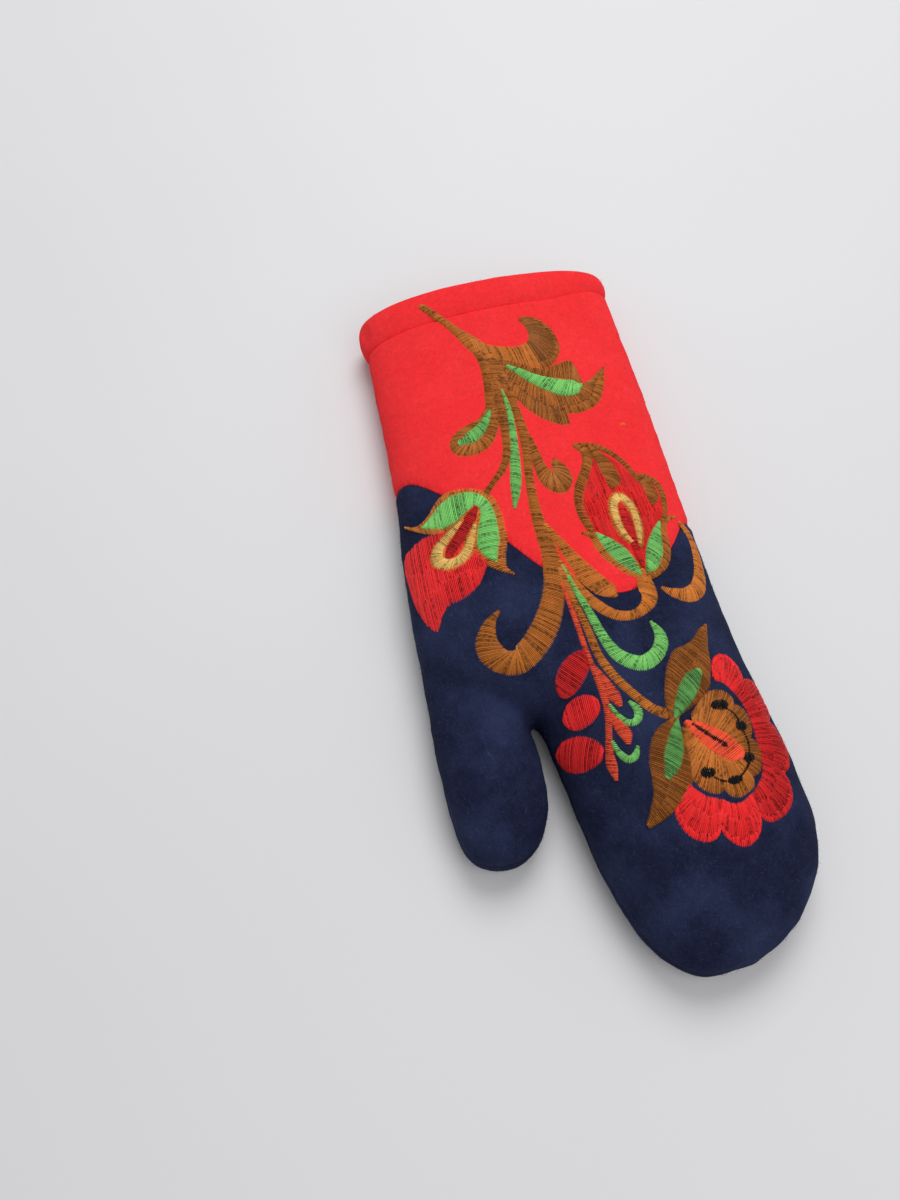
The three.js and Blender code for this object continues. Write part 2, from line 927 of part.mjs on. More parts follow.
const shell = mittenShell();
addFelt("back_hand", shell.intersect(upperHalf).intersect(handSide), NAVY_FELT);
addFelt("palm_hand", shell.intersect(lowerHalf).intersect(handSide), NAVY_FELT);
addFelt("back_cuff", shell.intersect(upperHalf).intersect(cuffSide), RED_FELT);
addFelt("palm_cuff", shell.intersect(lowerHalf).intersect(cuffSide), RED_FELT);
addFelt("cuff_hem", hemBody(), RED_FELT);

addThread("scroll_stem", BROWN_THREAD, [
  UPPER_SCROLL,
  BIG_LEAF_LOWER,
  BIG_LEAF_TIP,
  BIG_LEAF_UPPER,
  DROP_LEAF,
  BUD_STEM,
  MAIN_STEM,
  COMMA_LEAF,
  BROAD_BAND,
  LOWER_LOOP,
  LOWER_STEM,
  TULIP_LEFT_LEAF,
  TULIP_RIGHT_LEAF,
]);
addThread("side_hook", OCHRE_THREAD, [SIDE_HOOK]);
addThread("big_leaf_centre", GREEN_THREAD, [BIG_LEAF_CENTRE], 1);
addThread("drop_leaf_centre", GREEN_THREAD, [DROP_CENTRE], 1);
addThread("green_blade", GREEN_THREAD, [BLADE]);
addThread("green_hook", GREEN_THREAD, [GREEN_HOOK]);

addThread("bud_rim", BROWN_THREAD, [BUD_RIM]);
addThread("bud_calyx", GREEN_THREAD, [BUD_CALYX], 1);
addPiece("bud_petal", filledPetal(BUD_PETAL), RED_THREAD, 0.5);
addThread("bud_loop", CREAM_THREAD, [BUD_LOOP], 1);
addThread("bud_core", RED_THREAD, [BUD_CORE], 1);

addThread("tulip_rim", BROWN_THREAD, [TULIP_LEFT_RIM, TULIP_RIGHT_RIM]);
addPiece("tulip_petals", filledPetal(TULIP_PETALS), CRIMSON_THREAD, 0.5);
addThread("tulip_drop", BROWN_THREAD, [TULIP_DROP], 1);
addThread("tulip_side_drop", BROWN_THREAD, [TULIP_SIDE_DROP], 1);
addThread("tulip_loop", CREAM_THREAD, [TULIP_LOOP], 1);
addThread("tulip_core", RED_THREAD, [TULIP_CORE], 1);
addThread("tulip_left_centre", GREEN_THREAD, [TULIP_LEFT_CENTRE], 1);
addThread("tulip_right_centre", GREEN_THREAD, [TULIP_RIGHT_CENTRE], 1);

addThread("berry_stalk", ORANGE_THREAD, [BERRY_STALK, LEAFLET_UPPER, LEAFLET_LOWER]);
addThread("berry_upper", RED_THREAD, [BERRY_UPPER]);
addThread("berry_middle", RED_THREAD, [BERRY_MIDDLE]);
addThread("berry_lower", RED_THREAD, [BERRY_LOWER]);
addThread("tendril_upper", GREEN_THREAD, [TENDRIL_UPPER]);
addThread("tendril_lower", GREEN_THREAD, [TENDRIL_LOWER]);

addThread("leaf_pair", BROWN_THREAD, [PAIR_UPPER_LEAF, PAIR_LOWER_LEAF]);
addThread("leaf_pair_upper_centre", GREEN_THREAD, [PAIR_UPPER_CENTRE], 1);
addThread("leaf_pair_lower_centre", GREEN_THREAD, [PAIR_LOWER_CENTRE], 1);
const leafCutter = [PAIR_UPPER_LEAF, PAIR_LOWER_LEAF].map((rows) => ribbon(rows, { grow: GAP }));
const heart = leafCutter.reduce((whole, leaf) => whole.subtract(leaf), ribbon(FLOWER_HEART));
const heartCutter = ribbon(FLOWER_HEART, { grow: GAP });
const petals = leafCutter.reduce((whole, leaf) => whole.subtract(leaf), embroidery(PETAL_ROWS, 0));
addPiece("flower_petals", petals.subtract(heartCutter), RED_THREAD, 0.5);
addPiece("flower_heart", heart, OCHRE_THREAD, 0.5);
addThread("flower_tongue", ORANGE_THREAD, [FLOWER_TONGUE], 1);

// The origin is under the middle of the whole mitten

const bounds = new THREE.Box3().setFromObject(mitten);
const middle = bounds.getCenter(new THREE.Vector3());
mitten.position.set(-middle.x, -middle.y, -bounds.min.z);

export default mitten;
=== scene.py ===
"""A winter mitten of thick felt with satin stitch embroidery, lying palm down on a pale floor.

In the tables "across" runs over the back from the thumb's side, and "along" runs from the
fingertips to the cuff, both in millimetres. Blender's own lengths are metres.
"""

import math

import bpy
import numpy as np
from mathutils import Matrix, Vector, noise
from mathutils.bvhtree import BVHTree


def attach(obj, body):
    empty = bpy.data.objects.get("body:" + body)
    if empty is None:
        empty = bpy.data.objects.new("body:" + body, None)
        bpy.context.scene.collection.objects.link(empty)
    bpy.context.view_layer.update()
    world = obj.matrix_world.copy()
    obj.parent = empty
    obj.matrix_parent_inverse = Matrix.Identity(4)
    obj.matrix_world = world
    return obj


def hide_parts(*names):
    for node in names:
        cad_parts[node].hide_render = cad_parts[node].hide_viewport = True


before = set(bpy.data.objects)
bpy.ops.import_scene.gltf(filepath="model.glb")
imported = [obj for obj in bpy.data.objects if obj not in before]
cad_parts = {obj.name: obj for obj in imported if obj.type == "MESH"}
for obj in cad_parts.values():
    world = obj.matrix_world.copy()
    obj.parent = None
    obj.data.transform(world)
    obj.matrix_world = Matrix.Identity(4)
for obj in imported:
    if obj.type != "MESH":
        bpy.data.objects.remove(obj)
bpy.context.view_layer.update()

bl_info = {
    "name": "Embroidered Felt Mitten",
    "version": (1, 0, 0),
    "blender": (4, 5, 0),
    "location": "3D View > Sidebar > Mitten",
    "description": "Builds the felt panels, the hem, the embroidery and the stage of a winter mitten",
    "category": "Add Mesh",
}

MM = 0.001
BED = "embroidery_bed"
GROUND = "embroidery_ground"

# Place of the charts in the part's own frame, in millimetres

SHIFT_X = 7.865
SHIFT_Y = -149.5
AXIS_X = 8.0
AXIS_Z = -35.0
CHART_RADIUS = 70.0
CHART_REACH = 120.0
NEAREST_REACH = 20.0
FARTHEST_REACH = 110.0
HALVINGS = 26

# Form of the mitten

SEAM_HEIGHT = 12.0
PALM_DEPTH = 13.0
CREST = 0.42
TOP_POWER = 2.15
PALM_POWER = 3.2
TOP_STEPS = 72
PALM_STEPS = 48
SIDE_COLUMN, SEAM_COLUMN, END_COLUMN = 6, 7, 8
PANEL_END = 294.0
HEM_START = 282.0
LAST_RING = 300.0
HEM_TUCK = 1.5
TUCK_REACH = 2.4
HEM_RISE = 4.5
HEM_RISE_FROM = 22.0
HEM_RISE_REACH = 30.0
SEAM_GAP = 0.12
SIDE_SEAM_REACH = 1.8
COLOUR_SEAM_REACH = 1.7
COLOUR_SEAM_SHARE = 0.8
RELAX_ROUNDS = 8
SOFTEN_ROUNDS = 6
HAND_STATIONS = np.concatenate(((0.5, 0.9, 1.6, 2.5, 3.8, 5.4, 7.5, 10, 13), np.arange(16.0, 300.1, 2.5)))
THUMB_STATIONS = np.concatenate(((54.3, 54.7, 55.4, 56.5, 58, 60), np.arange(62.5, 140.1, 2.5)))

HAND = np.array((
    (0.5, -1, 14, 3), (2.5, -6, 20, 6.5), (6, -11, 28, 9.5), (11, -15.5, 35.5, 12.5),
    (18, -20, 42.5, 15.5), (30, -24.2, 49.8, 19), (46, -27.4, 53.2, 22), (68, -29.4, 53, 24),
    (88, -31.2, 51.4, 25), (100, -33, 50.8, 25.5), (104, -37, 50.6, 25.7), (108, -44, 50.5, 25.8),
    (113, -53, 50.4, 26), (120, -62, 50.3, 26), (128, -68.5, 50.2, 26), (138, -71, 50.2, 25.8),
    (160, -69.2, 50.6, 25), (185, -66, 52.2, 23.5), (213, -62, 53.8, 21.8), (250, -59.3, 55, 19.9),
    (280, -57.6, 55.7, 19), (300, -57.2, 56.2, 19),
))
THUMB = np.array((
    (54.3, -61, -54, 3), (55.5, -65, -50.5, 5.5), (58, -69.2, -46.6, 8.5), (63, -72.2, -42, 11),
    (71, -73.6, -38.6, 13.5), (82, -73.8, -36.8, 15), (92, -73.6, -36.2, 15.5),
    (104, -73.3, -36.6, 15), (118, -72.4, -38, 13), (130, -71.2, -44, 9), (140, -69.5, -50, 5),
))
FLOOR = np.array(((0, 0), (240, 0), (262, 0.5), (276, 2), (300, 2)), float)
DENTS = (
    (-24, 246, 14, 34, 1.6), (24, 262, 20, 16, 0.8), (-40, 120, 9, 14, 2.4), (36, 182, 12, 40, 1),
    (-2, 30, 22, 9, 0.8),
)
COLOUR_SEAM = (
    (-62, 210), (-48, 197), (-32, 168), (-23, 153), (-10, 141), (2, 136.5), (16, 141), (30, 153),
    (47, 165),
)
COLOUR_SEAM_FAR = ((-400, 236), (400, 176))

# Waves of the felt: length over x, y and z, shift in z, then the small swells' and puckers' share

BROAD_SWELL = (34, 46, 30, 7.3)
SMALL_SWELL = (11, 13, 11, 2.1)
SEAM_PUCKER = (6, 6, 14, 5.7)
SMALL_SHARE = 0.22
PUCKER_SHARE = 0.5
PUCKER_REACH = 5.5
SWELL_END = 284.0
SWELL_FADE = 24.0

# Cross-section of the hem: along, distance out from the cuff's own surface

HEM_PROFILE = (
    (281.9, -1.25), (282.2, -0.75), (283.2, -0.2), (285, 0.45), (287.3, 0.95), (289.8, 1.2), (292.3, 1.2),
    (294.6, 0.95), (296.6, 0.4), (297.9, -0.5), (298.4, -1.8), (297.9, -3.2), (296.4, -4.3), (293.5, -4.9),
    (289, -5.0), (285, -4.8), (283, -4.4), (282.1, -3.8), (283.5, -3.2), (289, -3.2), (293.8, -3.2),
    (294.6, -2.6), (294.7, -2.0), (294.2, -1.5), (293, -1.3), (288, -1.3), (283.5, -1.42),
)
HEM_PUCKERS = 9
HEM_PUCKER_HEIGHT = 0.16
HEM_WAVES = 2.2
HEM_WAVE_SHIFT = 4.2
HEM_WAVE_HEIGHT = 0.45
HEM_JOIN = math.pi * 0.985
HEM_JOIN_REACH = 0.05
HEM_JOIN_DEPTH = 1.3
HEM_OUTSIDE = 0.5

# Embroidery: across, along, half width

UPPER_STEM = (
    (-36.4, 289.6, 1.5), (-34.4, 286.2, 1.5), (-31, 280.5, 1.5), (-27, 273.5, 2), (-22.5, 265.5, 3.6),
    (-18.5, 258.5, 3.4),
)
BIG_LEAF_CENTRE = (
    (-11.5, 249.5, 0.6), (-7, 245.5, 1.8), (-2, 240.5, 3), (4, 236.5, 4.2), (10, 233.5, 5),
    (14.5, 232.5, 4), (16.5, 233, 1.5),
)
DROP_STEM = (
    (-23.8, 266, 1.6), (-21.4, 260, 2.2), (-20.6, 254, 2.3), (-20.9, 248, 2.3), (-22, 240, 2.3),
    (-23.2, 233, 2.3), (-23.8, 229, 2),
)
DROP_CENTRE = ((-24.5, 229, 0.6), (-27, 225, 1.8), (-30, 221.5, 2.6), (-34, 218.8, 3.2), (-37, 217.8, 2))
BUD_STEM = (
    (-18, 244, 2.4), (-19.6, 235, 2.6), (-20.2, 228, 2.3), (-21, 217, 2.1), (-23, 207, 1.8),
    (-26.3, 200, 1.5), (-31, 194.6, 1.2), (-34, 191, 1.3),
)
BLADE = (
    (-17, 238, 0.5), (-17, 228, 1.1), (-18.2, 218, 1.5), (-20, 208, 1.8), (-22, 198, 2.1), (-24, 190, 1.9),
    (-26.5, 181, 0.4),
)
MAIN_STEM = (
    (-14, 244, 2), (-14.2, 228, 1.8), (-14.5, 215, 2.2), (-15.8, 205, 2), (-17.8, 195, 1.7),
    (-19.2, 185, 1.9), (-20, 175, 2.3), (-20, 165, 2.8), (-20, 155, 3.2), (-21.5, 147, 3.6),
    (-24.5, 138, 4), (-29, 129.5, 4.6), (-35, 123, 5), (-41, 120.8, 5), (-45.3, 124, 4.2),
    (-46, 130.5, 3.2), (-43.5, 137, 1.8), (-40.2, 140.5, 0.5),
)
BROAD_BAND = (
    (-18, 170, 1), (-15, 161, 2), (-12, 152, 3.2), (-8.5, 144, 4), (-5, 138.5, 3.6), (-3, 136, 1.5),
)
LOWER_LOOP = (
    (-17.5, 153, 1.4), (-14.5, 142, 1.8), (-10.5, 134, 2.2), (-5.5, 128.3, 2.2), (0.5, 126.4, 2),
    (6, 128, 2.2), (10, 132, 3.3), (11, 137, 3.6), (11.5, 142.5, 2),
)
LOWER_STEM = (
    (-18.5, 150, 1.4), (-17.5, 138, 1.2), (-16.2, 126, 1.4), (-15.5, 114, 1.5), (-12.8, 105, 1.6),
    (-9, 97.5, 1.6), (-4.5, 90.5, 1.8), (0, 87, 2), (2.5, 85, 1.2),
)
SIDE_HOOK = (
    (17, 135.5, 0.6), (21, 133, 2.2), (27, 131.5, 3.4), (33, 133.5, 3.6), (37.5, 139, 3.4), (40.5, 146, 3),
    (42, 153, 2.4), (41, 160, 1.6), (38, 164, 0.6),
)
GREEN_HOOK = (
    (-17.2, 152, 0.5), (-15.6, 142, 1.1), (-13.6, 131, 1.5), (-11.8, 120, 1.9), (-8.8, 112, 2.6),
    (-2.5, 107.3, 3.1), (3.5, 108.8, 2.9), (7.8, 113.5, 2.7), (8.6, 118, 2), (7, 122.3, 0.5),
)

BUD_LOOP = (
    (-44, 181, 0.8), (-48, 177.5, 1.6), (-52, 173.5, 2.2), (-53, 169, 2.4), (-50.5, 165.5, 2.5),
    (-46.5, 165.5, 2.3), (-43.8, 169, 1.8), (-41.5, 174.5, 1.2), (-40, 178, 0.5),
)
BUD_CORE = ((-38.3, 185.5, 0.8), (-41, 181.5, 2.2), (-45, 176, 2.2), (-48.5, 171, 2), (-50, 168.5, 0.8))

TULIP_LEFT_RIM = (
    (3.5, 203.8, 0.6), (7, 200.5, 2), (6.8, 196, 2.2), (4, 190, 2.3), (0, 184.5, 2.3), (-2.6, 178, 2.2),
    (-3.2, 171, 2.2), (-2.5, 165, 1.6),
)
TULIP_RIGHT_RIM = (
    (3.5, 204, 0.5), (9, 203.2, 1), (15, 200.5, 1.3), (20, 196, 1.3), (24, 190, 1.2), (26, 184, 1.2),
)
TULIP_LOBE_RIM = (
    (25.5, 186, 0.5), (30, 186.2, 1.2), (34.5, 183, 1.4), (35.3, 177, 1.4), (33.5, 171, 1.3),
    (30.5, 165, 1.2), (27, 160, 0.8),
)
TULIP_DROP = (
    (10, 201, 1), (12, 197, 2.6), (13.5, 191, 4), (13.8, 186, 4.6), (12.5, 183, 3), (12, 181.5, 1),
)
TULIP_SIDE_DROP = ((27, 185.5, 2), (29.5, 182, 3.2), (29.5, 177, 3.6), (28, 173.5, 2.4), (27.5, 172, 0.8))
TULIP_LOOP = (
    (11.5, 156, 0.8), (9.3, 160.5, 1.4), (8.8, 167, 1.7), (10, 173.5, 2), (13.5, 176.3, 2.2),
    (16.7, 173, 2), (17.2, 166.5, 1.8), (16, 160, 1.6), (14.5, 155, 0.6),
)
TULIP_CORE = (
    (12.5, 173, 0.8), (12.8, 170, 2.2), (12.8, 164, 2.6), (12.3, 158, 2), (12, 152, 1.6), (12, 145, 0.6),
)
TULIP_LEFT_LEAF = (
    (-6, 163.8, 0.5), (-2.3, 161.8, 1.8), (1.3, 157, 4.8), (5, 151, 5.8), (8.2, 144.8, 4.3),
    (11, 140.4, 1.4),
)
TULIP_LEFT_CENTRE = (
    (-1, 162, 0.6), (2, 157.2, 3), (5, 151.7, 4.2), (7.5, 146.2, 3.2), (9.8, 141.8, 0.6),
)
TULIP_RIGHT_LEAF = (
    (36.5, 166.5, 0.5), (31.5, 165, 1.2), (27.4, 161.3, 3), (24.2, 155, 5), (20.3, 148.2, 4.8),
    (15.8, 143, 2.6), (11.6, 140.4, 1.2),
)
TULIP_RIGHT_CENTRE = (
    (27, 163.5, 0.5), (23.6, 158, 2.6), (20.4, 151.8, 4), (16.6, 146, 3.2), (13.3, 142.8, 0.6),
)

BERRY_STALK = (
    (-19.5, 145, 0.6), (-19, 130, 0.9), (-19, 117, 0.9), (-18.6, 108, 1), (-18.4, 100, 1.2),
    (-19, 93, 1.2), (-21, 86, 1.2), (-22.8, 80, 1.5), (-23.6, 75, 2), (-23.8, 70, 0.6),
)
LEAFLET_UPPER = (
    (-18.2, 110, 0.8), (-16.8, 104.5, 1.8), (-15.4, 99, 2.3), (-14.6, 95.5, 1.5), (-14.3, 94, 0.5),
)
LEAFLET_LOWER = ((-18.5, 92.5, 0.9), (-16.7, 88, 2.1), (-15.8, 84, 2.3), (-15.9, 80.5, 0.8))
TENDRIL_UPPER = (
    (-17.5, 95.5, 0.5), (-16, 91, 0.9), (-13.5, 87.5, 1.2), (-10.5, 87.5, 1.4), (-9, 91, 1.5),
    (-10.8, 94.5, 0.5),
)
TENDRIL_LOWER = (
    (-20.7, 83, 0.5), (-19.8, 78.5, 1.1), (-17.5, 75.3, 1.4), (-14.8, 75.8, 1.3), (-13.2, 78.5, 0.5),
)

PAIR_UPPER_LEAF = (
    (1, 85, 1.2), (4.8, 90.6, 4.8), (10, 96.5, 8), (15, 101.5, 8.6), (19.4, 105.8, 5.8), (22.6, 110, 3.3),
    (25.5, 114, 2.2), (28.5, 117.5, 0.5),
)
PAIR_UPPER_CENTRE = ((2, 84.8, 0.5), (5, 88.6, 2.6), (9.2, 93, 4), (13, 96.4, 3.9), (15.2, 98.2, 2.5))
PAIR_LOWER_LEAF = (
    (1.5, 84, 1.2), (-1.2, 78.5, 5.6), (-3.6, 71.5, 7.6), (-6.5, 64.5, 7.2), (-10.5, 58.6, 4.6),
    (-14.5, 55, 2.9), (-18.5, 52, 0.8),
)
PAIR_LOWER_CENTRE = ((2.5, 83.5, 0.5), (0.4, 79, 2.7), (-2, 74, 3.9), (-4.6, 69.3, 3.5), (-6.6, 66.6, 1.9))
FLOWER_TONGUE = ((6, 82, 1.2), (9, 79, 4), (13, 74.6, 5.3), (16, 71.2, 5.8), (17.6, 69.2, 5.2))
TONGUE_SLOT = ((7.3, 81, 0.6), (12, 75.6, 1.0), (15.6, 71.8, 1.15))
SPOT_LINES = (
    ((8.5, 61.5, 0.3), (11, 59.8, 0.35), (13.5, 59, 0.3)),
    ((17, 59.4, 0.3), (20, 61.3, 0.35), (22.5, 63.5, 0.3)),
    ((21.8, 84, 0.3), (23.7, 81.8, 0.35), (24.6, 79.5, 0.3)),
    ((25, 74.5, 0.3), (25.2, 71, 0.35), (24.4, 68, 0.3)),
)
STEM_CROWN = ((-17.8, 258, 3.4), (-16.8, 251, 5.4), (-17, 242, 4), (-16.6, 235, 1))
STRAY_THREAD = ((28.6, 211.2, 0.35), (29.6, 212.1, 0.5), (30.7, 211.8, 0.45), (31.3, 210.7, 0.35))

# Ovals: across, along, half length, half width, and for the berries the turn in degrees

SPOTS = (
    (6.7, 63.7, 2.4, 2.7), (19.5, 85.8, 3.1, 2.7), (24.7, 77, 1.9, 2.8), (15.5, 59.1, 2.6, 1.9),
    (23.2, 65.6, 2, 2.6),
)
BERRIES = {
    "upper": (-25.6, 110.3, 9.1, 4.9, 43),
    "middle": (-27.9, 96.6, 7.3, 5.9, 4),
    "lower": (-34.6, 83.3, 10.2, 6.9, -20),
}

# Shapes stitched from edge to edge: across and along of the inner edge, then of the outer

UPPER_HOOK = (
    (-23, 270, -22, 261), (-17, 263.8, -16, 254.5), (-12, 261.3, -11, 251.5), (-7, 260, -6, 248.8),
    (-2, 260, -1.5, 246.3), (1, 261, 3.5, 245), (2.5, 262.5, 8.5, 246.3), (3, 264, 12.8, 250),
    (3.3, 265.5, 15.6, 255), (3.2, 267, 16, 260.5), (2.9, 268.6, 14.8, 266), (2.3, 270.2, 11.5, 270.7),
    (1.6, 271.6, 7, 273.4), (1, 272.5, 3, 273.8),
)
BIG_LEAF_LOWER = (
    (-12.5, 250, -15.5, 249), (-10.5, 247, -15, 243), (-8, 244, -13.5, 236), (-5, 241, -11.5, 229.5),
    (-2, 238.5, -8, 223), (1, 235.5, -3, 217.5), (4, 232.5, 2, 214.3), (6, 231, 5.8, 214.2),
)
BIG_LEAF_TIP = (
    (6, 231, 5.6, 219.5), (8, 230, 7.5, 219.6), (11, 229.3, 12, 219.3), (14, 230, 17.5, 220.6),
    (16.5, 232, 22.5, 223.3), (18, 233.8, 26.5, 228.5), (21, 235, 29.4, 234.5), (25.5, 237.5, 31.2, 239.5),
    (30.5, 241.5, 32, 241.8),
)
BIG_LEAF_UPPER = (
    (-14, 250.5, -13, 255.5), (-9, 248, -7, 252), (-4, 244.5, -1.5, 247.5), (1, 241.5, 3.5, 246),
    (6, 239.5, 8.5, 246.5), (11, 238, 13, 247.5), (14, 237, 17.5, 248), (15.5, 236, 18.8, 243.5),
    (16.5, 234.5, 19, 238), (17, 233, 19, 234.5),
)
DROP_LEAF = (
    (-24.3, 231.5, -25.5, 232), (-26.3, 227.3, -29.5, 226.9), (-31, 222, -35, 225.4),
    (-33.8, 220, -40, 222.2), (-34.8, 218.4, -42, 217.3), (-34.6, 217.4, -40.2, 212),
    (-33.4, 216.6, -34.5, 209.6), (-30.5, 217.3, -28.5, 211.7), (-28, 220.5, -24.2, 217.3),
    (-26, 225, -22, 223.5), (-24.3, 229.5, -21, 230.5),
)
COMMA_LEAF = (
    (-12, 213, -14.5, 213), (-11, 205, -15, 204), (-10.4, 198, -15.3, 196), (-9.5, 194.8, -15, 190),
    (-9, 194, -12.5, 185), (-8.8, 193.7, -8.5, 182.3), (-8.6, 193.9, -4.5, 183.5), (-8.5, 194.4, -2, 187.5),
    (-8.6, 195.3, -1.8, 192), (-8.2, 197, -3.4, 196), (-7, 199.2, -5.6, 198.8),
)
BUD_RIM = (
    (-62.5, 190.8, -62.3, 191.3), (-58.5, 186.2, -59.3, 188.7), (-55.5, 183, -56.3, 188.3),
    (-52, 180.3, -53, 190.5), (-48.5, 179.5, -50, 194.8), (-45.5, 180.5, -46, 196.7),
    (-43, 182.5, -42, 196.8), (-41, 184, -38, 195.2), (-39.8, 184, -34.2, 192.2),
    (-39.6, 182.5, -31.8, 188), (-40.3, 179.5, -31, 182), (-42, 175, -30.8, 176),
    (-43, 170, -31.6, 170), (-42.6, 165.5, -32.8, 165), (-40.5, 161, -33.8, 160.5),
    (-37.5, 157, -34.3, 157), (-33.3, 153.3, -32.8, 153.6),
)
BUD_CALYX = (
    (-55.5, 185.2, -55.3, 186), (-53, 182.8, -52.3, 189), (-50, 181, -49.5, 192.5),
    (-46.5, 181.2, -46, 194.6), (-43.5, 183, -43, 195), (-41, 185, -40.3, 194.3),
    (-38.8, 185.8, -37.3, 192.5), (-37.8, 184.8, -34.8, 189.5), (-37.8, 182.5, -33.2, 185),
    (-38.6, 179.5, -32.8, 179.5), (-40.5, 175, -33, 174), (-41.5, 170.5, -33.6, 169.5),
    (-41, 166.5, -34.8, 165.5), (-39.5, 163, -36, 162), (-37.2, 160, -36.8, 160),
)
PETALS = (
    (
        (22, 95.3, 21.8, 97), (23, 94.8, 23.3, 101.5), (24, 94.3, 26, 104.4), (25, 93.7, 29.3, 105.5),
        (25.8, 93, 33, 104.3), (26.4, 92, 35.6, 100.8), (27, 91, 36.2, 97), (27.6, 90, 35.3, 94.4),
    ), (
        (27.6, 90, 35.3, 94.4), (28.3, 88.5, 38.5, 95), (29, 86.8, 42, 94.3), (29.5, 85, 45, 91.5),
        (30, 83, 46.3, 87.5), (30.2, 81, 45.6, 83.3), (30.2, 79.3, 43, 79.8), (30, 77.5, 39.8, 77.4),
    ), (
        (30, 77.5, 39.8, 77.4), (29.8, 75.5, 43, 75.3), (29.5, 73, 45.3, 71.5), (29.3, 70.5, 45.6, 66.8),
        (29, 68, 43.6, 62.5), (28.6, 65.5, 40, 59.3), (28.2, 63.5, 36.8, 57.8),
    ), (
        (28.2, 63.5, 36.8, 57.8), (27.6, 61.5, 37.8, 54), (26.6, 59.5, 36.8, 49.5), (25.4, 57.8, 33.5, 45.7),
        (24, 56.4, 29, 43.3), (22.6, 55.2, 25, 42.6), (21.2, 54.2, 22, 43.6), (20, 53.5, 20.6, 45.8),
    ), (
        (20, 53.5, 20.6, 45.8), (18.6, 52.8, 20, 42.3), (17, 52.1, 17.6, 38.8), (15.2, 51.6, 14, 37),
        (13.3, 51.6, 10.5, 37.3), (11.6, 52.2, 7.5, 39.6), (10.3, 53.2, 5.6, 42.6), (9.2, 54, 5, 45),
    ), (
        (9.2, 54, 5, 45), (7.5, 54.8, 3.3, 42.3), (6, 55.4, -0.5, 41.4), (4.5, 56, -4.3, 42.8),
        (3.2, 57, -7.3, 46.3), (2.2, 58, -8.7, 50.8), (1.2, 59, -8.3, 54.8), (0.4, 60, -6, 57.8),
        (-0.3, 61, -2, 61),
    ),
)
FLOWER_HEART = (
    (
        (7.5, 81.5, 8.5, 85), (8.5, 80.2, 12, 88), (9.6, 79, 16, 91), (10.6, 78, 20, 92), (11.6, 77, 24, 91),
        (12.5, 76, 26.4, 88.3), (13.2, 75.2, 25.9, 85.3),
    ), (
        (13.2, 75.2, 25.9, 85.3), (14, 74.3, 28.2, 84.4), (14.8, 73.5, 30, 81.5), (15.6, 72.6, 30.1, 77.6),
        (16.2, 72, 28.9, 74), (16.8, 71.4, 27.4, 72.2),
    ), (
        (16.8, 71.4, 27.4, 72.2), (17, 70.7, 29.5, 70.4), (17, 70, 29.5, 66.4), (16.9, 69.4, 28, 62.4),
        (16.6, 69.2, 25.6, 59.4), (16.2, 69.3, 22.8, 58.7),
    ), (
        (16.2, 69.3, 22.8, 58.7), (15.8, 69.6, 22.4, 55.9), (15.3, 70, 19.5, 53.9), (14.8, 70.4, 16, 53),
        (14.3, 70.9, 12.8, 53.9), (13.8, 71.4, 11, 56.8),
    ), (
        (13.8, 71.4, 11, 56.8), (13.2, 72, 8.5, 55.7), (12.6, 72.7, 5.5, 56.8), (12, 73.4, 2.5, 59.5),
        (11.2, 74.3, 0.8, 63.5), (10.4, 75.3, 1.5, 67.5), (9.6, 76.3, 1.6, 71), (8.6, 77.6, 2.2, 76),
        (7.4, 79.2, 3.4, 81),
    ),
)

# Petals filled from side to side: across, lowest along, highest along

BUD_PETAL = (
    (-66, 170, 178), (-64.7, 158, 180.3), (-62, 148, 181), (-60, 143.5, 181.5), (-58, 141, 182),
    (-56, 145, 182), (-53, 149, 182), (-48, 149.5, 180), (-43.5, 153, 172), (-40, 159.5, 163),
)
TULIP_PETALS = (
    (-3, 165, 180), (2, 160, 187), (7, 150, 196), (12, 143, 200), (17, 150, 197), (22, 155, 190),
    (27, 162, 184), (32, 168, 182),
)


def length(name, description, default, low, high):
    """A setting for a length, given in millimetres."""
    return bpy.props.FloatProperty(
        name=name, description=description, default=default * MM, min=low * MM, max=high * MM,
        unit="LENGTH", precision=4)


def tint(name, description, default):
    """A setting for a colour."""
    return bpy.props.FloatVectorProperty(
        name=name, description=description, default=default, subtype="COLOR", size=3, min=0, max=1)


class MittenFelt(bpy.types.PropertyGroup):
    thickness: length("Felt thickness", "Thickness of the felt panels", 2.7, 1, 5)
    grain: length("Mesh grain", "Size of the faces of the felt's surface", 1.35, 0.8, 4)
    seam_depth: length("Seam depth", "How far the sewn seams pull the felt in", 1.1, 0, 3)
    swell: length("Swell", "Height of the soft swells and hollows of the felt", 1.0, 0, 3)
    navy: tint("Navy felt", "Colour of the hand", (0.01232, 0.01617, 0.0484))
    navy_fleck: tint("Navy flecks", "Colour of the lighter wool in the hand", (0.045, 0.065, 0.16))
    red: tint("Red felt", "Colour of the cuff and hem", (0.95, 0.030, 0.036))
    red_fleck: tint("Red flecks", "Colour of the lighter wool in the cuff", (1.0, 0.085, 0.085))
    fibres: bpy.props.FloatProperty(
        name="Loose fibres", description="Loose fibres to each square metre of felt", default=110000.0,
        min=0.0)
    fibre_length: length("Fibre length", "Length of a loose fibre", 1.5, 0.2, 5)


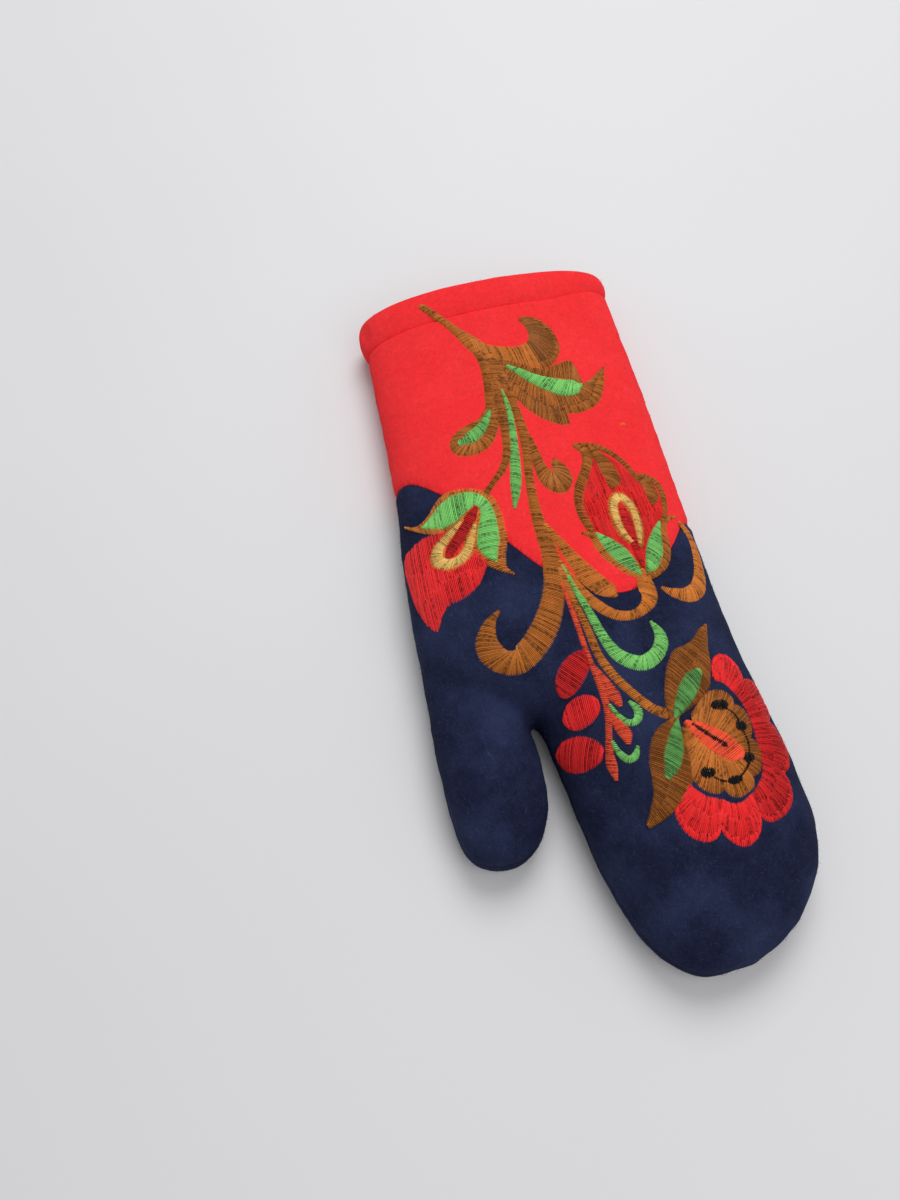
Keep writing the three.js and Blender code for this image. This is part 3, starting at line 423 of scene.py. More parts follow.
class MittenThread(bpy.types.PropertyGroup):
    spacing: length("Stitch spacing", "Distance between neighbouring satin stitches", 0.68, 0.2, 2)
    radius: length("Thread radius", "Half the thickness of the thread", 0.325, 0.1, 1)
    jitter: bpy.props.FloatProperty(
        name="Uneven ends", description="How unevenly the stitches end, as a share of their half length",
        default=0.10, min=0.0, max=0.5)
    brown: tint("Brown", "Thread of the scrolls", (0.62, 0.195, 0.03))
    ochre: tint("Ochre", "Thread of the side hook and the flower's heart", (0.65, 0.205, 0.033))
    green: tint("Green", "Thread of the leaf centres", (0.21, 0.58, 0.15))
    red: tint("Red", "Thread of the petals and berries", (0.84, 0.021, 0.023))
    crimson: tint("Crimson", "Thread of the tulip", (0.76, 0.012, 0.012))
    orange: tint("Orange", "Thread of the berry stalk and the flower's tongue", (0.95, 0.085, 0.035))
    cream: tint("Cream", "Thread of the loops", (0.84, 0.45, 0.13))
    black: tint("Black", "Thread of the spots in the flower", (0.006, 0.006, 0.007))


class MittenStage(bpy.types.PropertyGroup):
    floor: tint("Floor", "Colour of the floor", (0.74, 0.74, 0.755))
    key: bpy.props.FloatProperty(
        name="Key light", description="Power of the large lamp", default=10.1, min=0.0, unit="POWER")
    sky: bpy.props.FloatProperty(
        name="Room light", description="Strength of the light from all round", default=0.44, min=0.0)
    lens: bpy.props.FloatProperty(
        name="Lens", description="Focal length of the camera", default=30.0, min=10.0, max=200.0)


# Helpers for shapes

def smooth_curve(points):
    """A curve through (along, value) points that never overshoots them."""
    points = np.asarray(points, float)
    steps = np.diff(points[:, 0])
    slopes = np.diff(points[:, 1]) / steps
    before = np.concatenate((slopes[:1], slopes))
    after = np.concatenate((slopes, slopes[-1:]))
    alike = before * after > 0
    tangents = np.where(alike, 2 * before * after / np.where(alike, before + after, 1), 0)

    def value(along):
        along = np.asarray(along, float)
        i = np.clip(np.searchsorted(points[:, 0], along, side="left") - 1, 0, len(steps) - 1)
        t = (along - points[i, 0]) / steps[i]
        blend = t * t * (3 - 2 * t)
        swing = tangents[i] * (1 - t) ** 2 * t - tangents[i + 1] * t * t * (1 - t)
        return points[i, 1] * (1 - blend) + points[i + 1, 1] * blend + swing * steps[i]

    return value


def smooth_step(share):
    share = np.clip(share, 0, 1)
    return share * share * (3 - 2 * share)


def tube_curves(table):
    return tuple(smooth_curve(table[:, (0, column)]) for column in (1, 2, 3))


HAND_CURVES = tube_curves(HAND)
THUMB_CURVES = tube_curves(THUMB)
FLOOR_CURVE = smooth_curve(FLOOR)


def dent_depth(x, along):
    depth = 0
    for dent_x, dent_along, x_reach, along_reach, most in DENTS:
        away = ((x - dent_x) / x_reach) ** 2 + ((along - dent_along) / along_reach) ** 2
        depth = depth + most * np.exp(-away)
    return depth


def section(curves, along, out=0.0):
    """A closed ring of points round the tube at one station, moved outwards by a distance."""
    left = float(curves[0](along)) - out
    right = float(curves[1](along)) + out
    crown = float(curves[2](along)) + out
    crest = left + CREST * (right - left)
    angle = np.pi * np.arange(TOP_STEPS + 1) / TOP_STEPS
    side = np.sign(np.cos(angle)) * np.abs(np.cos(angle)) ** (2 / TOP_POWER)
    rise = np.clip(np.sin(angle), 0, 1) ** (2 / TOP_POWER)
    top_x = crest + side * np.where(side > 0, right - crest, crest - left)
    top_z = SEAM_HEIGHT + (crown - dent_depth(top_x, along)) * rise
    angle = np.pi + np.pi * np.arange(1, PALM_STEPS) / PALM_STEPS
    side = np.sign(np.cos(angle)) * np.abs(np.cos(angle)) ** (2 / PALM_POWER)
    sink = np.abs(np.sin(angle)) ** (2 / PALM_POWER) * (PALM_DEPTH + out)
    palm_x = (left + right) / 2 + side * (right - left) / 2
    palm_z = np.maximum(float(FLOOR_CURVE(along)) - out, SEAM_HEIGHT - sink)
    x = np.concatenate((top_x, palm_x))[::-1]
    z = np.concatenate((top_z, palm_z))[::-1]
    return np.stack((x, np.full_like(x, along), z), 1)


def tube(curves, stations):
    """Closed body through the tube's rings: points and triangles."""
    rings = [section(curves, along) for along in stations]
    count = len(rings[0])
    points = np.concatenate(rings + [rings[0].mean(0)[None], rings[-1].mean(0)[None]])
    i = np.arange(count)
    j = (i + 1) % count
    faces = []
    for row in range(len(rings) - 1):
        a, b = row * count + i, row * count + j
        faces += [np.stack((a, b, b + count), 1), np.stack((a, b + count, a + count), 1)]
    first, last, end = len(rings) * count, len(rings) * count + 1, (len(rings) - 1) * count
    faces.append(np.stack((np.full(count, first), j, i), 1))
    faces.append(np.stack((np.full(count, last), end + i, end + j), 1))
    return points, np.concatenate(faces)


def normals_of(points, faces):
    corners = points[faces]
    flat = np.cross(corners[:, 1] - corners[:, 0], corners[:, 2] - corners[:, 0])
    normals = np.zeros_like(points)
    for corner in range(3):
        np.add.at(normals, faces[:, corner], flat)
    return normals / np.maximum(np.linalg.norm(normals, axis=1), 1e-12)[:, None]


def softened(normals, faces):
    """Unit normals, evened out over their neighbours."""
    normals = relaxed(normals, faces, SOFTEN_ROUNDS)
    return normals / np.linalg.norm(normals, axis=1)[:, None]


def edges_of(faces):
    edges = np.sort(np.concatenate((faces[:, :2], faces[:, 1:], faces[:, ::2])), 1)
    return np.unique(edges, axis=0)


def relaxed(values, faces, rounds, amount=0.5):
    """Values on the points, each drawn towards its neighbours' mean."""
    edges = edges_of(faces)
    count = np.maximum(np.bincount(edges.ravel(), minlength=len(values)), 1)[:, None]
    for _ in range(rounds):
        total = np.zeros_like(values)
        np.add.at(total, edges[:, 0], values[edges[:, 1]])
        np.add.at(total, edges[:, 1], values[edges[:, 0]])
        values = values + amount * (total / count - values)
    return values


def kept_side(points, faces, column):
    """The part of the mesh where a column of the points is above zero, with its triangles split."""
    inside = points[:, column] > 0
    count = inside[faces].sum(1)
    one, two = faces[count == 1], faces[count == 2]
    one = np.take_along_axis(one, (np.argmax(inside[one], 1)[:, None] + np.arange(3)) % 3, 1)
    two = np.take_along_axis(two, (np.argmin(inside[two], 1)[:, None] + np.arange(3)) % 3, 1)
    crossed = np.concatenate((one[:, (0, 1)], one[:, (0, 2)], two[:, (0, 1)], two[:, (0, 2)]))
    ends, index = np.unique(np.sort(crossed, 1), axis=0, return_inverse=True)
    index = index.reshape(-1) + len(points)
    a, b = points[ends[:, 0]], points[ends[:, 1]]
    share = (a[:, column] / (a[:, column] - b[:, column]))[:, None]
    points = np.concatenate((points, a + share * (b - a)))
    n, m = len(one), len(two)
    one_b, one_c, two_b, two_c = index[:n], index[n:2 * n], index[2 * n:2 * n + m], index[2 * n + m:]
    faces = np.concatenate((
        faces[count == 3],
        np.stack((one[:, 0], one_b, one_c), 1),
        np.stack((two_b, two[:, 1], two[:, 2]), 1),
        np.stack((two_b, two[:, 2], two_c), 1),
    ))
    used, faces = np.unique(faces, return_inverse=True)
    return points[used], faces.reshape(-1, 3)


def rim_edges(faces):
    """Directed edges that only one triangle has."""
    directed = np.concatenate((faces[:, (0, 1)], faces[:, (1, 2)], faces[:, (2, 0)]))
    keys = directed[:, 0] * (faces.max() + 1) + directed[:, 1]
    back = directed[:, 1] * (faces.max() + 1) + directed[:, 0]
    return directed[~np.isin(keys, back)]


def new_object(name, points, faces, edges=(), smooth=True):
    mesh = bpy.data.meshes.new(name)
    mesh.from_pydata(np.asarray(points).tolist(), np.asarray(edges).tolist(), np.asarray(faces).tolist())
    if smooth:
        mesh.shade_smooth()
    piece = bpy.data.objects.new(name, mesh)
    bpy.context.scene.collection.objects.link(piece)
    return piece


def discard(piece):
    mesh = piece.data
    bpy.data.objects.remove(piece)
    bpy.data.meshes.remove(mesh)


def evaluated_mesh(piece, keep_layers=False):
    """A plain mesh of the piece with its modifiers applied."""
    depsgraph = bpy.context.evaluated_depsgraph_get()
    depsgraph.update()
    return bpy.data.meshes.new_from_object(
        piece.evaluated_get(depsgraph), preserve_all_data_layers=keep_layers, depsgraph=depsgraph)


def points_of(mesh):
    points = np.empty(len(mesh.vertices) * 3)
    mesh.vertices.foreach_get("co", points)
    return points.reshape(-1, 3)


def arrays_of(mesh):
    mesh.calc_loop_triangles()
    faces = np.empty(len(mesh.loop_triangles) * 3, np.int32)
    mesh.loop_triangles.foreach_get("vertices", faces)
    return points_of(mesh), faces.reshape(-1, 3).astype(np.int64)


def keep_above(mesh, height):
    """Lifts the points that lie below a height."""
    points = points_of(mesh)
    points[:, 2] = np.maximum(points[:, 2], height)
    mesh.vertices.foreach_set("co", points.ravel())


def to_part(points):
    """Chart millimetres to the part's metres."""
    return (points + np.array((SHIFT_X, SHIFT_Y, 0))) * MM


def store(mesh, name, kind, values):
    attribute = mesh.attributes.new(name, kind, "POINT")
    field = "vector" if kind == "FLOAT_VECTOR" else "value"
    attribute.data.foreach_set(field, np.asarray(values, float).ravel())


# Helpers for node trees

def add(tree, kind, links=(), **settings):
    node = tree.nodes.new(kind)
    for key, value in settings.items():
        setattr(node, key, value)
    for name, value in links:
        socket = node.inputs[name]
        if isinstance(value, bpy.types.NodeSocket):
            tree.links.new(value, socket)
        else:
            socket.default_value = value
    return node


def new_tree(name, inputs):
    tree = bpy.data.node_groups.new(name, "GeometryNodeTree")
    tree.interface.new_socket("Geometry", in_out="OUTPUT", socket_type="NodeSocketGeometry")
    tree.interface.new_socket("Geometry", in_out="INPUT", socket_type="NodeSocketGeometry")
    for label, kind in inputs:
        tree.interface.new_socket(label, in_out="INPUT", socket_type="NodeSocket" + kind)
    entry = tree.nodes.new("NodeGroupInput").outputs
    return tree, entry


def math_node(tree, operation, *values):
    return add(tree, "ShaderNodeMath", list(enumerate(values)), operation=operation).outputs[0]


def plus(tree, first, *others):
    for other in others:
        first = math_node(tree, "ADD", first, other)
    return first


def minus(tree, first, second):
    return math_node(tree, "SUBTRACT", first, second)


def times(tree, first, *others):
    for other in others:
        first = math_node(tree, "MULTIPLY", first, other)
    return first


def vector_node(tree, operation, *values):
    return add(tree, "ShaderNodeVectorMath", list(enumerate(values)), operation=operation).outputs[0]


def scaled(tree, vector, scale):
    return add(tree, "ShaderNodeVectorMath", [(0, vector), ("Scale", scale)], operation="SCALE").outputs[0]


def named(tree, name, kind="FLOAT"):
    return add(tree, "GeometryNodeInputNamedAttribute", [("Name", name)], data_type=kind).outputs["Attribute"]


def stored(tree, geometry, name, value):
    links = [("Geometry", geometry), ("Name", name), ("Value", value)]
    return add(tree, "GeometryNodeStoreNamedAttribute", links, data_type="FLOAT", domain="POINT").outputs[0]


def random_value(tree, low, high, seed, kind="FLOAT"):
    """A random number, or a vector of them, between two limits."""
    node = add(tree, "FunctionNodeRandomValue", data_type=kind)
    ending = "_001" if kind == "FLOAT" else ""
    values = {"Min" + ending: low, "Max" + ending: high, "Seed": seed}
    for socket in node.inputs:
        if socket.identifier in values:
            socket.default_value = values[socket.identifier]
    return next(socket for socket in node.outputs if socket.identifier == "Value" + ending)


def made_with(tree, piece, values):
    """Gives the piece the mesh that the tree makes, with the modifier removed."""
    modifier = piece.modifiers.new("Make", "NODES")
    modifier.node_group = tree
    for item in tree.interface.items_tree:
        if item.in_out == "INPUT" and item.name in values:
            modifier[item.identifier] = values[item.name]
    result = evaluated_mesh(piece, keep_layers=True)
    piece.modifiers.remove(modifier)
    source = piece.data
    piece.data = result
    result.name = piece.name
    bpy.data.meshes.remove(source)


# Finishes

def new_finish(name):
    material = bpy.data.materials.new(name)
    material.use_nodes = True
    tree = material.node_tree
    return material, tree, tree.nodes["Principled BSDF"]


def noise_at(tree, where, scale, detail=4.0, roughness=0.55, distortion=0.0):
    return add(tree, "ShaderNodeTexNoise", [
        ("Vector", where), ("Scale", scale), ("Detail", detail), ("Roughness", roughness),
        ("Distortion", distortion)]).outputs[0]


def between(tree, value, low, high, to_low=0.0, to_high=1.0):
    links = [("Value", value), ("From Min", low), ("From Max", high), ("To Min", to_low), ("To Max", to_high)]
    return add(tree, "ShaderNodeMapRange", links).outputs[0]


def mixed(tree, factor, first, second, blend="MIX"):
    node = add(tree, "ShaderNodeMix", data_type="RGBA", blend_type=blend)
    for socket, value in zip((node.inputs[0], node.inputs[6], node.inputs[7]), (factor, first, second)):
        if isinstance(value, bpy.types.NodeSocket):
            tree.links.new(value, socket)
        else:
            socket.default_value = value
    return node.outputs[2]


def felt_finish(name, colour, fleck, shade, haze):
    """Pressed wool: mottled clumps, darker in the bump's hollows as painted shade, and stray lighter fibres.

    Shade is how dark the hollows are, which is partly the wool's own mottle and partly painted shade where
    the bump sinks, and haze how much lighter wool lies in broad patches.
    """
    material, tree, shader = new_finish(name)
    where = add(tree, "ShaderNodeTexCoord").outputs["Object"]
    broad = noise_at(tree, where, 38.0, 3.0)
    clump = noise_at(tree, where, 380.0, 5.0, 0.6, 1.2)
    fine = noise_at(tree, where, 1500.0, 4.0, 0.65, 0.6)
    lengthways = [("Vector", where), ("Rotation", (0.3, 0.2, 0.5)), ("Scale", (1.0, 0.22, 1.0))]
    crossways = [("Vector", where), ("Rotation", (0.1, 0.5, -0.7)), ("Scale", (0.22, 1.0, 1.0))]
    strands = noise_at(tree, add(tree, "ShaderNodeMapping", lengthways).outputs[0], 1500.0, 3.0, 0.6, 1.6)
    cross = noise_at(tree, add(tree, "ShaderNodeMapping", crossways).outputs[0], 1300.0, 3.0, 0.6, 1.6)
    dark = (*(shade * part for part in colour), 1)
    plain = (*colour, 1)
    light = (*fleck, 1)
    # Dark where the clump noise is low, the same noise that sinks the bump: partly the wool's own mottle,
    # partly painted shade in the hollows.
    tone = mixed(tree, between(tree, clump, 0.36, 0.66), dark, plain)
    tone = mixed(tree, between(tree, broad, 0.42, 0.72, 0.0, haze), tone, light)
    strong = between(tree, broad, 0.35, 0.65, 0.35, 1.0)
    tone = mixed(tree, times(tree, between(tree, strands, 0.58, 0.74, 0.0, 0.75), strong), tone, light)
    tone = mixed(tree, times(tree, between(tree, cross, 0.60, 0.76, 0.0, 0.6), strong), tone, light)
    tree.links.new(tone, shader.inputs["Base Color"])
    height = plus(
        tree, times(tree, clump, 0.9), times(tree, fine, 0.5), times(tree, strands, 0.55),
        times(tree, cross, 0.45))
    bump = add(tree, "ShaderNodeBump", [("Strength", 0.5), ("Distance", 0.4 * MM), ("Height", height)])
    tree.links.new(bump.outputs[0], shader.inputs["Normal"])
    tree.links.new(between(tree, fine, 0.3, 0.7, 0.86, 0.98), shader.inputs["Roughness"])
    shader.inputs["Specular IOR Level"].default_value = 0.1
    shader.inputs["Sheen Weight"].default_value = 0.06
    shader.inputs["Sheen Roughness"].default_value = 0.45
    shader.inputs["Sheen Tint"].default_value = light
    return material


def thread_finish(name, colour, deep=0.3, bright=1.45):
    """Glossy embroidery thread: a tone for each stitch, with the lower stitches darker and dark flecks
    between them as painted shade, and fine plies.

    Deep and bright are the darkest and the brightest tone, as shares of the colour.
    """
    material, tree, shader = new_finish(name)
    where = add(tree, "ShaderNodeTexCoord").outputs["Object"]
    tone = add(tree, "ShaderNodeAttribute", attribute_name="tone").outputs["Fac"]
    chance = add(tree, "ShaderNodeAttribute", attribute_name="chance").outputs["Fac"]
    patch = noise_at(tree, where, 160.0, 2.0)
    plies = noise_at(tree, where, 2200.0, 3.0, 0.6, 0.4)
    spots = noise_at(tree, where, 900.0, 1.0)
    # Painted shade: dark flecks only on stitches of low chance, which the stitch tree lays lowest between
    # their neighbours.
    flecks = times(tree, between(tree, spots, 0.49, 0.57), between(tree, chance, 0.30, 0.38, 1.0, 0.0))
    # Chance also raises each stitch, so this term paints lower stitches darker, partly painted shade on top
    # of their random tone.
    mix = plus(
        tree, tone, times(tree, minus(tree, chance, 0.5), 0.3), between(tree, patch, 0.3, 0.7, -0.09, 0.09),
        between(tree, plies, 0.3, 0.7, -0.2, 0.2))
    mix = minus(tree, mix, times(tree, flecks, 0.4))
    mix = add(tree, "ShaderNodeClamp", [("Value", mix)]).outputs[0]
    low = (*(deep * part for part in colour), 1)
    high = (*(min(1.0, bright * part) for part in colour), 1)
    tree.links.new(mixed(tree, mix, low, high), shader.inputs["Base Color"])
    bump = add(tree, "ShaderNodeBump", [("Strength", 0.35), ("Distance", 0.08 * MM), ("Height", plies)])
    tree.links.new(bump.outputs[0], shader.inputs["Normal"])
    tree.links.new(between(tree, plies, 0.3, 0.7, 0.4, 0.56), shader.inputs["Roughness"])
    shader.inputs["Specular IOR Level"].default_value = 0.17
    return material


def finish_named(name, maker, *values):
    return bpy.data.materials.get(name) or maker(name, *values)


def thread_of(colour_name):
    settings = bpy.context.scene.mitten_thread
    return finish_named("satin_" + colour_name, thread_finish, tuple(getattr(settings, colour_name)))


def navy_felt():
    settings = bpy.context.scene.mitten_felt
    colours = tuple(settings.navy), tuple(settings.navy_fleck)
    return finish_named("pressed_wool_navy", felt_finish, *colours, 0.62, 0.34)


def red_felt():
    settings = bpy.context.scene.mitten_felt
    colours = tuple(settings.red), tuple(settings.red_fleck)
    return finish_named("pressed_wool_red", felt_finish, *colours, 0.86, 0.12)


# The felt body

def whole_form(grain):
    """The mitten's outer surface in chart millimetres, hand and thumb as one, evenly meshed."""
    points, faces = tube(HAND_CURVES, HAND_STATIONS)
    thumb_points, thumb_faces = tube(THUMB_CURVES, THUMB_STATIONS)
    rough = new_object(
        "mitten_form", np.concatenate((points, thumb_points)) * MM,
        np.concatenate((faces, thumb_faces + len(points))))
    remesh = rough.modifiers.new("Even faces", "REMESH")
    remesh.mode = "VOXEL"
    remesh.voxel_size = grain
    even = evaluated_mesh(rough)
    points, faces = arrays_of(even)
    discard(rough)
    bpy.data.meshes.remove(even)
    return relaxed(points / MM, faces, RELAX_ROUNDS), faces


def seam_curve():
    """The colour seam as a curve of along over x, with its ends running out to the sides."""
    points = [
        (AXIS_X + reach_on_form(across, along) * math.sin(across / CHART_RADIUS), along)
        for across, along in COLOUR_SEAM
    ]
    return smooth_curve([COLOUR_SEAM_FAR[0], *points, COLOUR_SEAM_FAR[1]])


def reach_on_form(across, along):
    """Distance from the chart's axis to the hand's plain surface, found by halving."""
    left, right, crown = (float(curve(along)) for curve in HAND_CURVES)
    crest = left + CREST * (right - left)
    inside, outside = NEAREST_REACH, FARTHEST_REACH
    for _ in range(HALVINGS):
        reach = (inside + outside) / 2
        x = AXIS_X + reach * math.sin(across / CHART_RADIUS)
        z = AXIS_Z + reach * math.cos(across / CHART_RADIUS)
        away = (crest - x) / (crest - left) if x < crest else (x - crest) / (right - crest)
        rise = (1 - min(away, 1) ** TOP_POWER) ** (1 / TOP_POWER)
        if left < x < right and z < SEAM_HEIGHT + (crown - float(dent_depth(x, along))) * rise:
            inside = reach
        else:
            outside = reach
    return inside


def wave(place, sizes):
    x, y, z = place
    over_x, over_y, over_z, shift = sizes
    return noise.noise(Vector((x / over_x, y / over_y, z / over_z + shift)))


def swells(points, height):
    """Soft swells and hollows of worn felt, and puckers along the side seam, none at the hem."""
    away = np.empty(len(points))
    for i, place in enumerate(points):
        near_seam = math.exp(-((place[2] - SEAM_HEIGHT) / PUCKER_REACH) ** 2)
        small = SMALL_SHARE * wave(place, SMALL_SWELL)
        away[i] = wave(place, BROAD_SWELL) + small + PUCKER_SHARE * wave(place, SEAM_PUCKER) * near_seam
    return height * away * np.clip((SWELL_END - points[:, 1]) / SWELL_FADE, 0, 1)


def felt_panels(settings):
    """The four panels, cut from one form along its seams, and the bed that the stitches lie on."""
    points, faces = whole_form(settings.grain)
    normals = softened(normals_of(points, faces), faces)
    points = points + normals * swells(points, settings.swell / MM)[:, None]
    points[:, 2] = np.maximum(points[:, 2], FLOOR_CURVE(points[:, 1]))
    bed = new_object(BED, to_part(points), faces)
    bed.hide_render = True

    seam = seam_curve()
    slope = seam(points[:, 0] + 0.5) - seam(points[:, 0] - 0.5)
    past_colour_seam = (points[:, 1] - seam(points[:, 0])) / np.sqrt(1 + slope ** 2)
    above_side_seam = points[:, 2] - SEAM_HEIGHT
    depth = settings.seam_depth / MM
    dip = COLOUR_SEAM_SHARE * depth * np.exp(-(past_colour_seam / COLOUR_SEAM_REACH) ** 2)
    dip += depth * np.exp(-(above_side_seam / SIDE_SEAM_REACH) ** 2)
    beyond = points[:, 1] - HEM_START - hem_rise(points[:, 0])
    tuck = HEM_TUCK * smooth_step((beyond + TUCK_REACH / 2) / TUCK_REACH)
    dip += tuck
    points = points - normals * dip[:, None]
    points[:, 2] = np.maximum(points[:, 2], 0.0)
    inner = points - softened(normals, faces) * (settings.thickness / MM - tuck)[:, None]
    fields = np.column_stack((points, inner, above_side_seam, past_colour_seam, PANEL_END - points[:, 1]))
    panels = (
        ("felt_back_hand", "back_hand", 1, -1, navy_felt()),
        ("felt_palm_hand", "palm_hand", -1, -1, navy_felt()),
        ("felt_back_cuff", "back_cuff", 1, 1, red_felt()),
        ("felt_palm_cuff", "palm_cuff", -1, 1, red_felt()),
    )
    for name, node, up, cuffwards, finish in panels:
        part = fields.copy()
        part[:, SIDE_COLUMN] = up * part[:, SIDE_COLUMN] - SEAM_GAP
        part[:, SEAM_COLUMN] = cuffwards * part[:, SEAM_COLUMN] - SEAM_GAP
        part_faces = faces
        for column in (SIDE_COLUMN, SEAM_COLUMN, END_COLUMN):
            part, part_faces = kept_side(part, part_faces, column)
        count = len(part)
        rim = rim_edges(part_faces)
        walls = np.concatenate((
            np.stack((rim[:, 1], rim[:, 0], rim[:, 0] + count), 1),
            np.stack((rim[:, 1], rim[:, 0] + count, rim[:, 1] + count), 1),
        ))
        whole = np.concatenate((part[:, :3], part[:, 3:6]))
        all_faces = np.concatenate((part_faces, part_faces[:, ::-1] + count, walls))
        piece = new_object(name, to_part(whole), all_faces)
        store(piece.data, "outside", "FLOAT", np.repeat((1.0, 0.0), count))
        piece.data.materials.append(finish)
        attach(piece, "root")
        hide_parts(node)


def hem_rise(x):
    """How far the hem's seam rises towards the little finger's side."""
    return HEM_RISE * smooth_step((np.asarray(x, float) - HEM_RISE_FROM) / HEM_RISE_REACH)


def hem_ring(along, out):
    """The hem's ring at one place of its cross-section, with small puckers where it is sewn."""
    held = min(max((PANEL_END - along) / (PANEL_END - HEM_START), 0.0), 1.0)
    ring = section(HAND_CURVES, min(along, LAST_RING), out)
    middle = ring.mean(0)
    for i, (x, y, z) in enumerate(ring):
        turn = math.atan2(z - middle[2], x - middle[0])
        around = math.cos(turn), math.sin(turn)
        pucker = noise.noise(Vector((HEM_PUCKERS * around[0], HEM_PUCKERS * around[1], along / HEM_PUCKERS)))
        wander = noise.noise(Vector((HEM_WAVES * around[0], HEM_WAVES * around[1], HEM_WAVE_SHIFT)))
        away = HEM_PUCKER_HEIGHT * pucker
        if out > HEM_OUTSIDE:
            away -= HEM_JOIN_DEPTH * math.exp(-((turn - HEM_JOIN) / HEM_JOIN_REACH) ** 2)
        ring[i] += np.array(Vector((x - middle[0], 0, z - middle[2])).normalized()) * away
        ring[i, 1] += HEM_WAVE_HEIGHT * wander + held * float(hem_rise(x))
    return ring


def cuff_hem(settings):
    rings = [hem_ring(along, out) for along, out in HEM_PROFILE]
    count = len(rings[0])
    grid = np.concatenate(rings)
    grid[:, 2] = np.maximum(grid[:, 2], 0.0)
    i = np.arange(count)
    j = (i + 1) % count
    faces = []
    for row in range(len(rings)):
        a, b = row * count, ((row + 1) % len(rings)) * count
        faces.append(np.stack((a + i, a + j, b + j, b + i), 1))
    piece = new_object("felt_hem", to_part(grid), np.concatenate(faces))
    subdivision = piece.modifiers.new("Round", "SUBSURF")
    subdivision.levels = subdivision.render_levels = 1
    rounded = evaluated_mesh(piece)
    piece.modifiers.clear()
    piece.data = rounded
    keep_above(rounded, 0.0)
    store(rounded, "outside", "FLOAT", np.ones(len(rounded.vertices)))
    rounded.materials.append(red_felt())
    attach(piece, "root")
    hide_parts("cuff_hem")


# Loose fibres

FIBRE_RADIUS = 0.035 * MM
FIBRE_POINTS = 4
FIBRE_BEND = 0.55
FIBRE_FALL = -0.25
FIBRE_SIZES = (0.45, 1.25)
FIBRE_TURNS = ((0.9, -0.2, -3.14), (1.5, 0.2, 3.14))
FIBRE_CLEARANCE = 0.05 * MM


def fibre_tree():
    """Short bent fibres scattered over the outer felt, lying nearly flat."""
    tree, entry = new_tree("Loose Fibres", (
        ("Density", "Float"), ("Length", "Float"), ("Radius", "Float"), ("Seed", "Int"),
        ("Finish", "Material")))
    spread = add(tree, "GeometryNodeDistributePointsOnFaces", [
        ("Mesh", entry["Geometry"]), ("Seed", entry["Seed"]),
        ("Density", times(tree, entry["Density"], named(tree, "outside")))])
    line = add(tree, "GeometryNodeCurvePrimitiveLine", [("End", (0.0, 0.0, 1.0))])
    fibre = add(tree, "GeometryNodeResampleCurve", [("Curve", line.outputs[0]), ("Count", FIBRE_POINTS)])
    place = add(tree, "GeometryNodeInputPosition").outputs[0]
    rise = add(tree, "ShaderNodeSeparateXYZ", [(0, place)]).outputs[2]
    fall = times(tree, math_node(tree, "POWER", rise, 3.0), FIBRE_FALL)
    offset = add(tree, "ShaderNodeCombineXYZ", [(0, times(tree, rise, rise, FIBRE_BEND)), (2, fall)])
    bent = add(tree, "GeometryNodeSetPosition", [
        ("Geometry", fibre.outputs[0]), ("Offset", offset.outputs[0])])
    circle = add(tree, "GeometryNodeCurvePrimitiveCircle", [
        ("Resolution", 3), ("Radius", math_node(tree, "DIVIDE", entry["Radius"], entry["Length"]))])
    body = add(tree, "GeometryNodeCurveToMesh", [
        ("Curve", bent.outputs[0]), ("Profile Curve", circle.outputs[0]), ("Fill Caps", True)])
    tilt = random_value(tree, *FIBRE_TURNS, 0, "FLOAT_VECTOR")
    spin = add(tree, "FunctionNodeEulerToRotation", [(0, tilt)])
    turned = add(tree, "FunctionNodeRotateRotation", [
        ("Rotation", spread.outputs["Rotation"]), ("Rotate By", spin.outputs[0])], rotation_space="LOCAL")
    placed = add(tree, "GeometryNodeInstanceOnPoints", [
        ("Points", spread.outputs["Points"]), ("Instance", body.outputs[0]),
        ("Rotation", turned.outputs[0]),
        ("Scale", times(tree, entry["Length"], random_value(tree, *FIBRE_SIZES, 5)))])
    real = add(tree, "GeometryNodeRealizeInstances", [("Geometry", placed.outputs[0])])
    done = add(tree, "GeometryNodeSetMaterial", [
        ("Geometry", real.outputs[0]), ("Material", entry["Finish"])])
    add(tree, "NodeGroupOutput", [("Geometry", done.outputs[0])])
    return tree


def fibre_finish(name, colour):
    material, tree, shader = new_finish(name)
    where = add(tree, "ShaderNodeTexCoord").outputs["Object"]
    patch = between(tree, noise_at(tree, where, 900.0, 1.0), 0.35, 0.65)
    dark = (*(0.5 * part for part in colour), 1)
    tree.links.new(mixed(tree, patch, dark, (*colour, 1)), shader.inputs["Base Color"])
    shader.inputs["Roughness"].default_value = 0.7
    return material


def loose_fibres(settings):
    tree = fibre_tree()
    groups = (
        ("fibres_navy", ("felt_back_hand", "felt_palm_hand"), "navy_felt", settings.navy_fleck, 11),
        ("fibres_red", ("felt_back_cuff", "felt_palm_cuff", "felt_hem"), "red_felt", settings.red_fleck, 12),
    )
    for name, panels, slot, colour, seed in groups:
        points, faces, outside = [], [], []
        start = 0
        for panel in panels:
            mesh = bpy.data.objects[panel].data
            panel_points, panel_faces = arrays_of(mesh)
            flags = np.empty(len(panel_points))
            mesh.attributes["outside"].data.foreach_get("value", flags)
            points.append(panel_points)
            faces.append(panel_faces + start)
            outside.append(flags)
            start += len(panel_points)
        piece = new_object(name, np.concatenate(points), np.concatenate(faces))
        store(piece.data, "outside", "FLOAT", np.concatenate(outside))
        made_with(tree, piece, {
            "Density": settings.fibres, "Length": settings.fibre_length, "Radius": FIBRE_RADIUS,
            "Seed": seed, "Finish": finish_named(name + "_finish", fibre_finish, tuple(colour))})
        keep_above(piece.data, FIBRE_CLEARANCE)
        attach(piece, "root")


# Embroidery

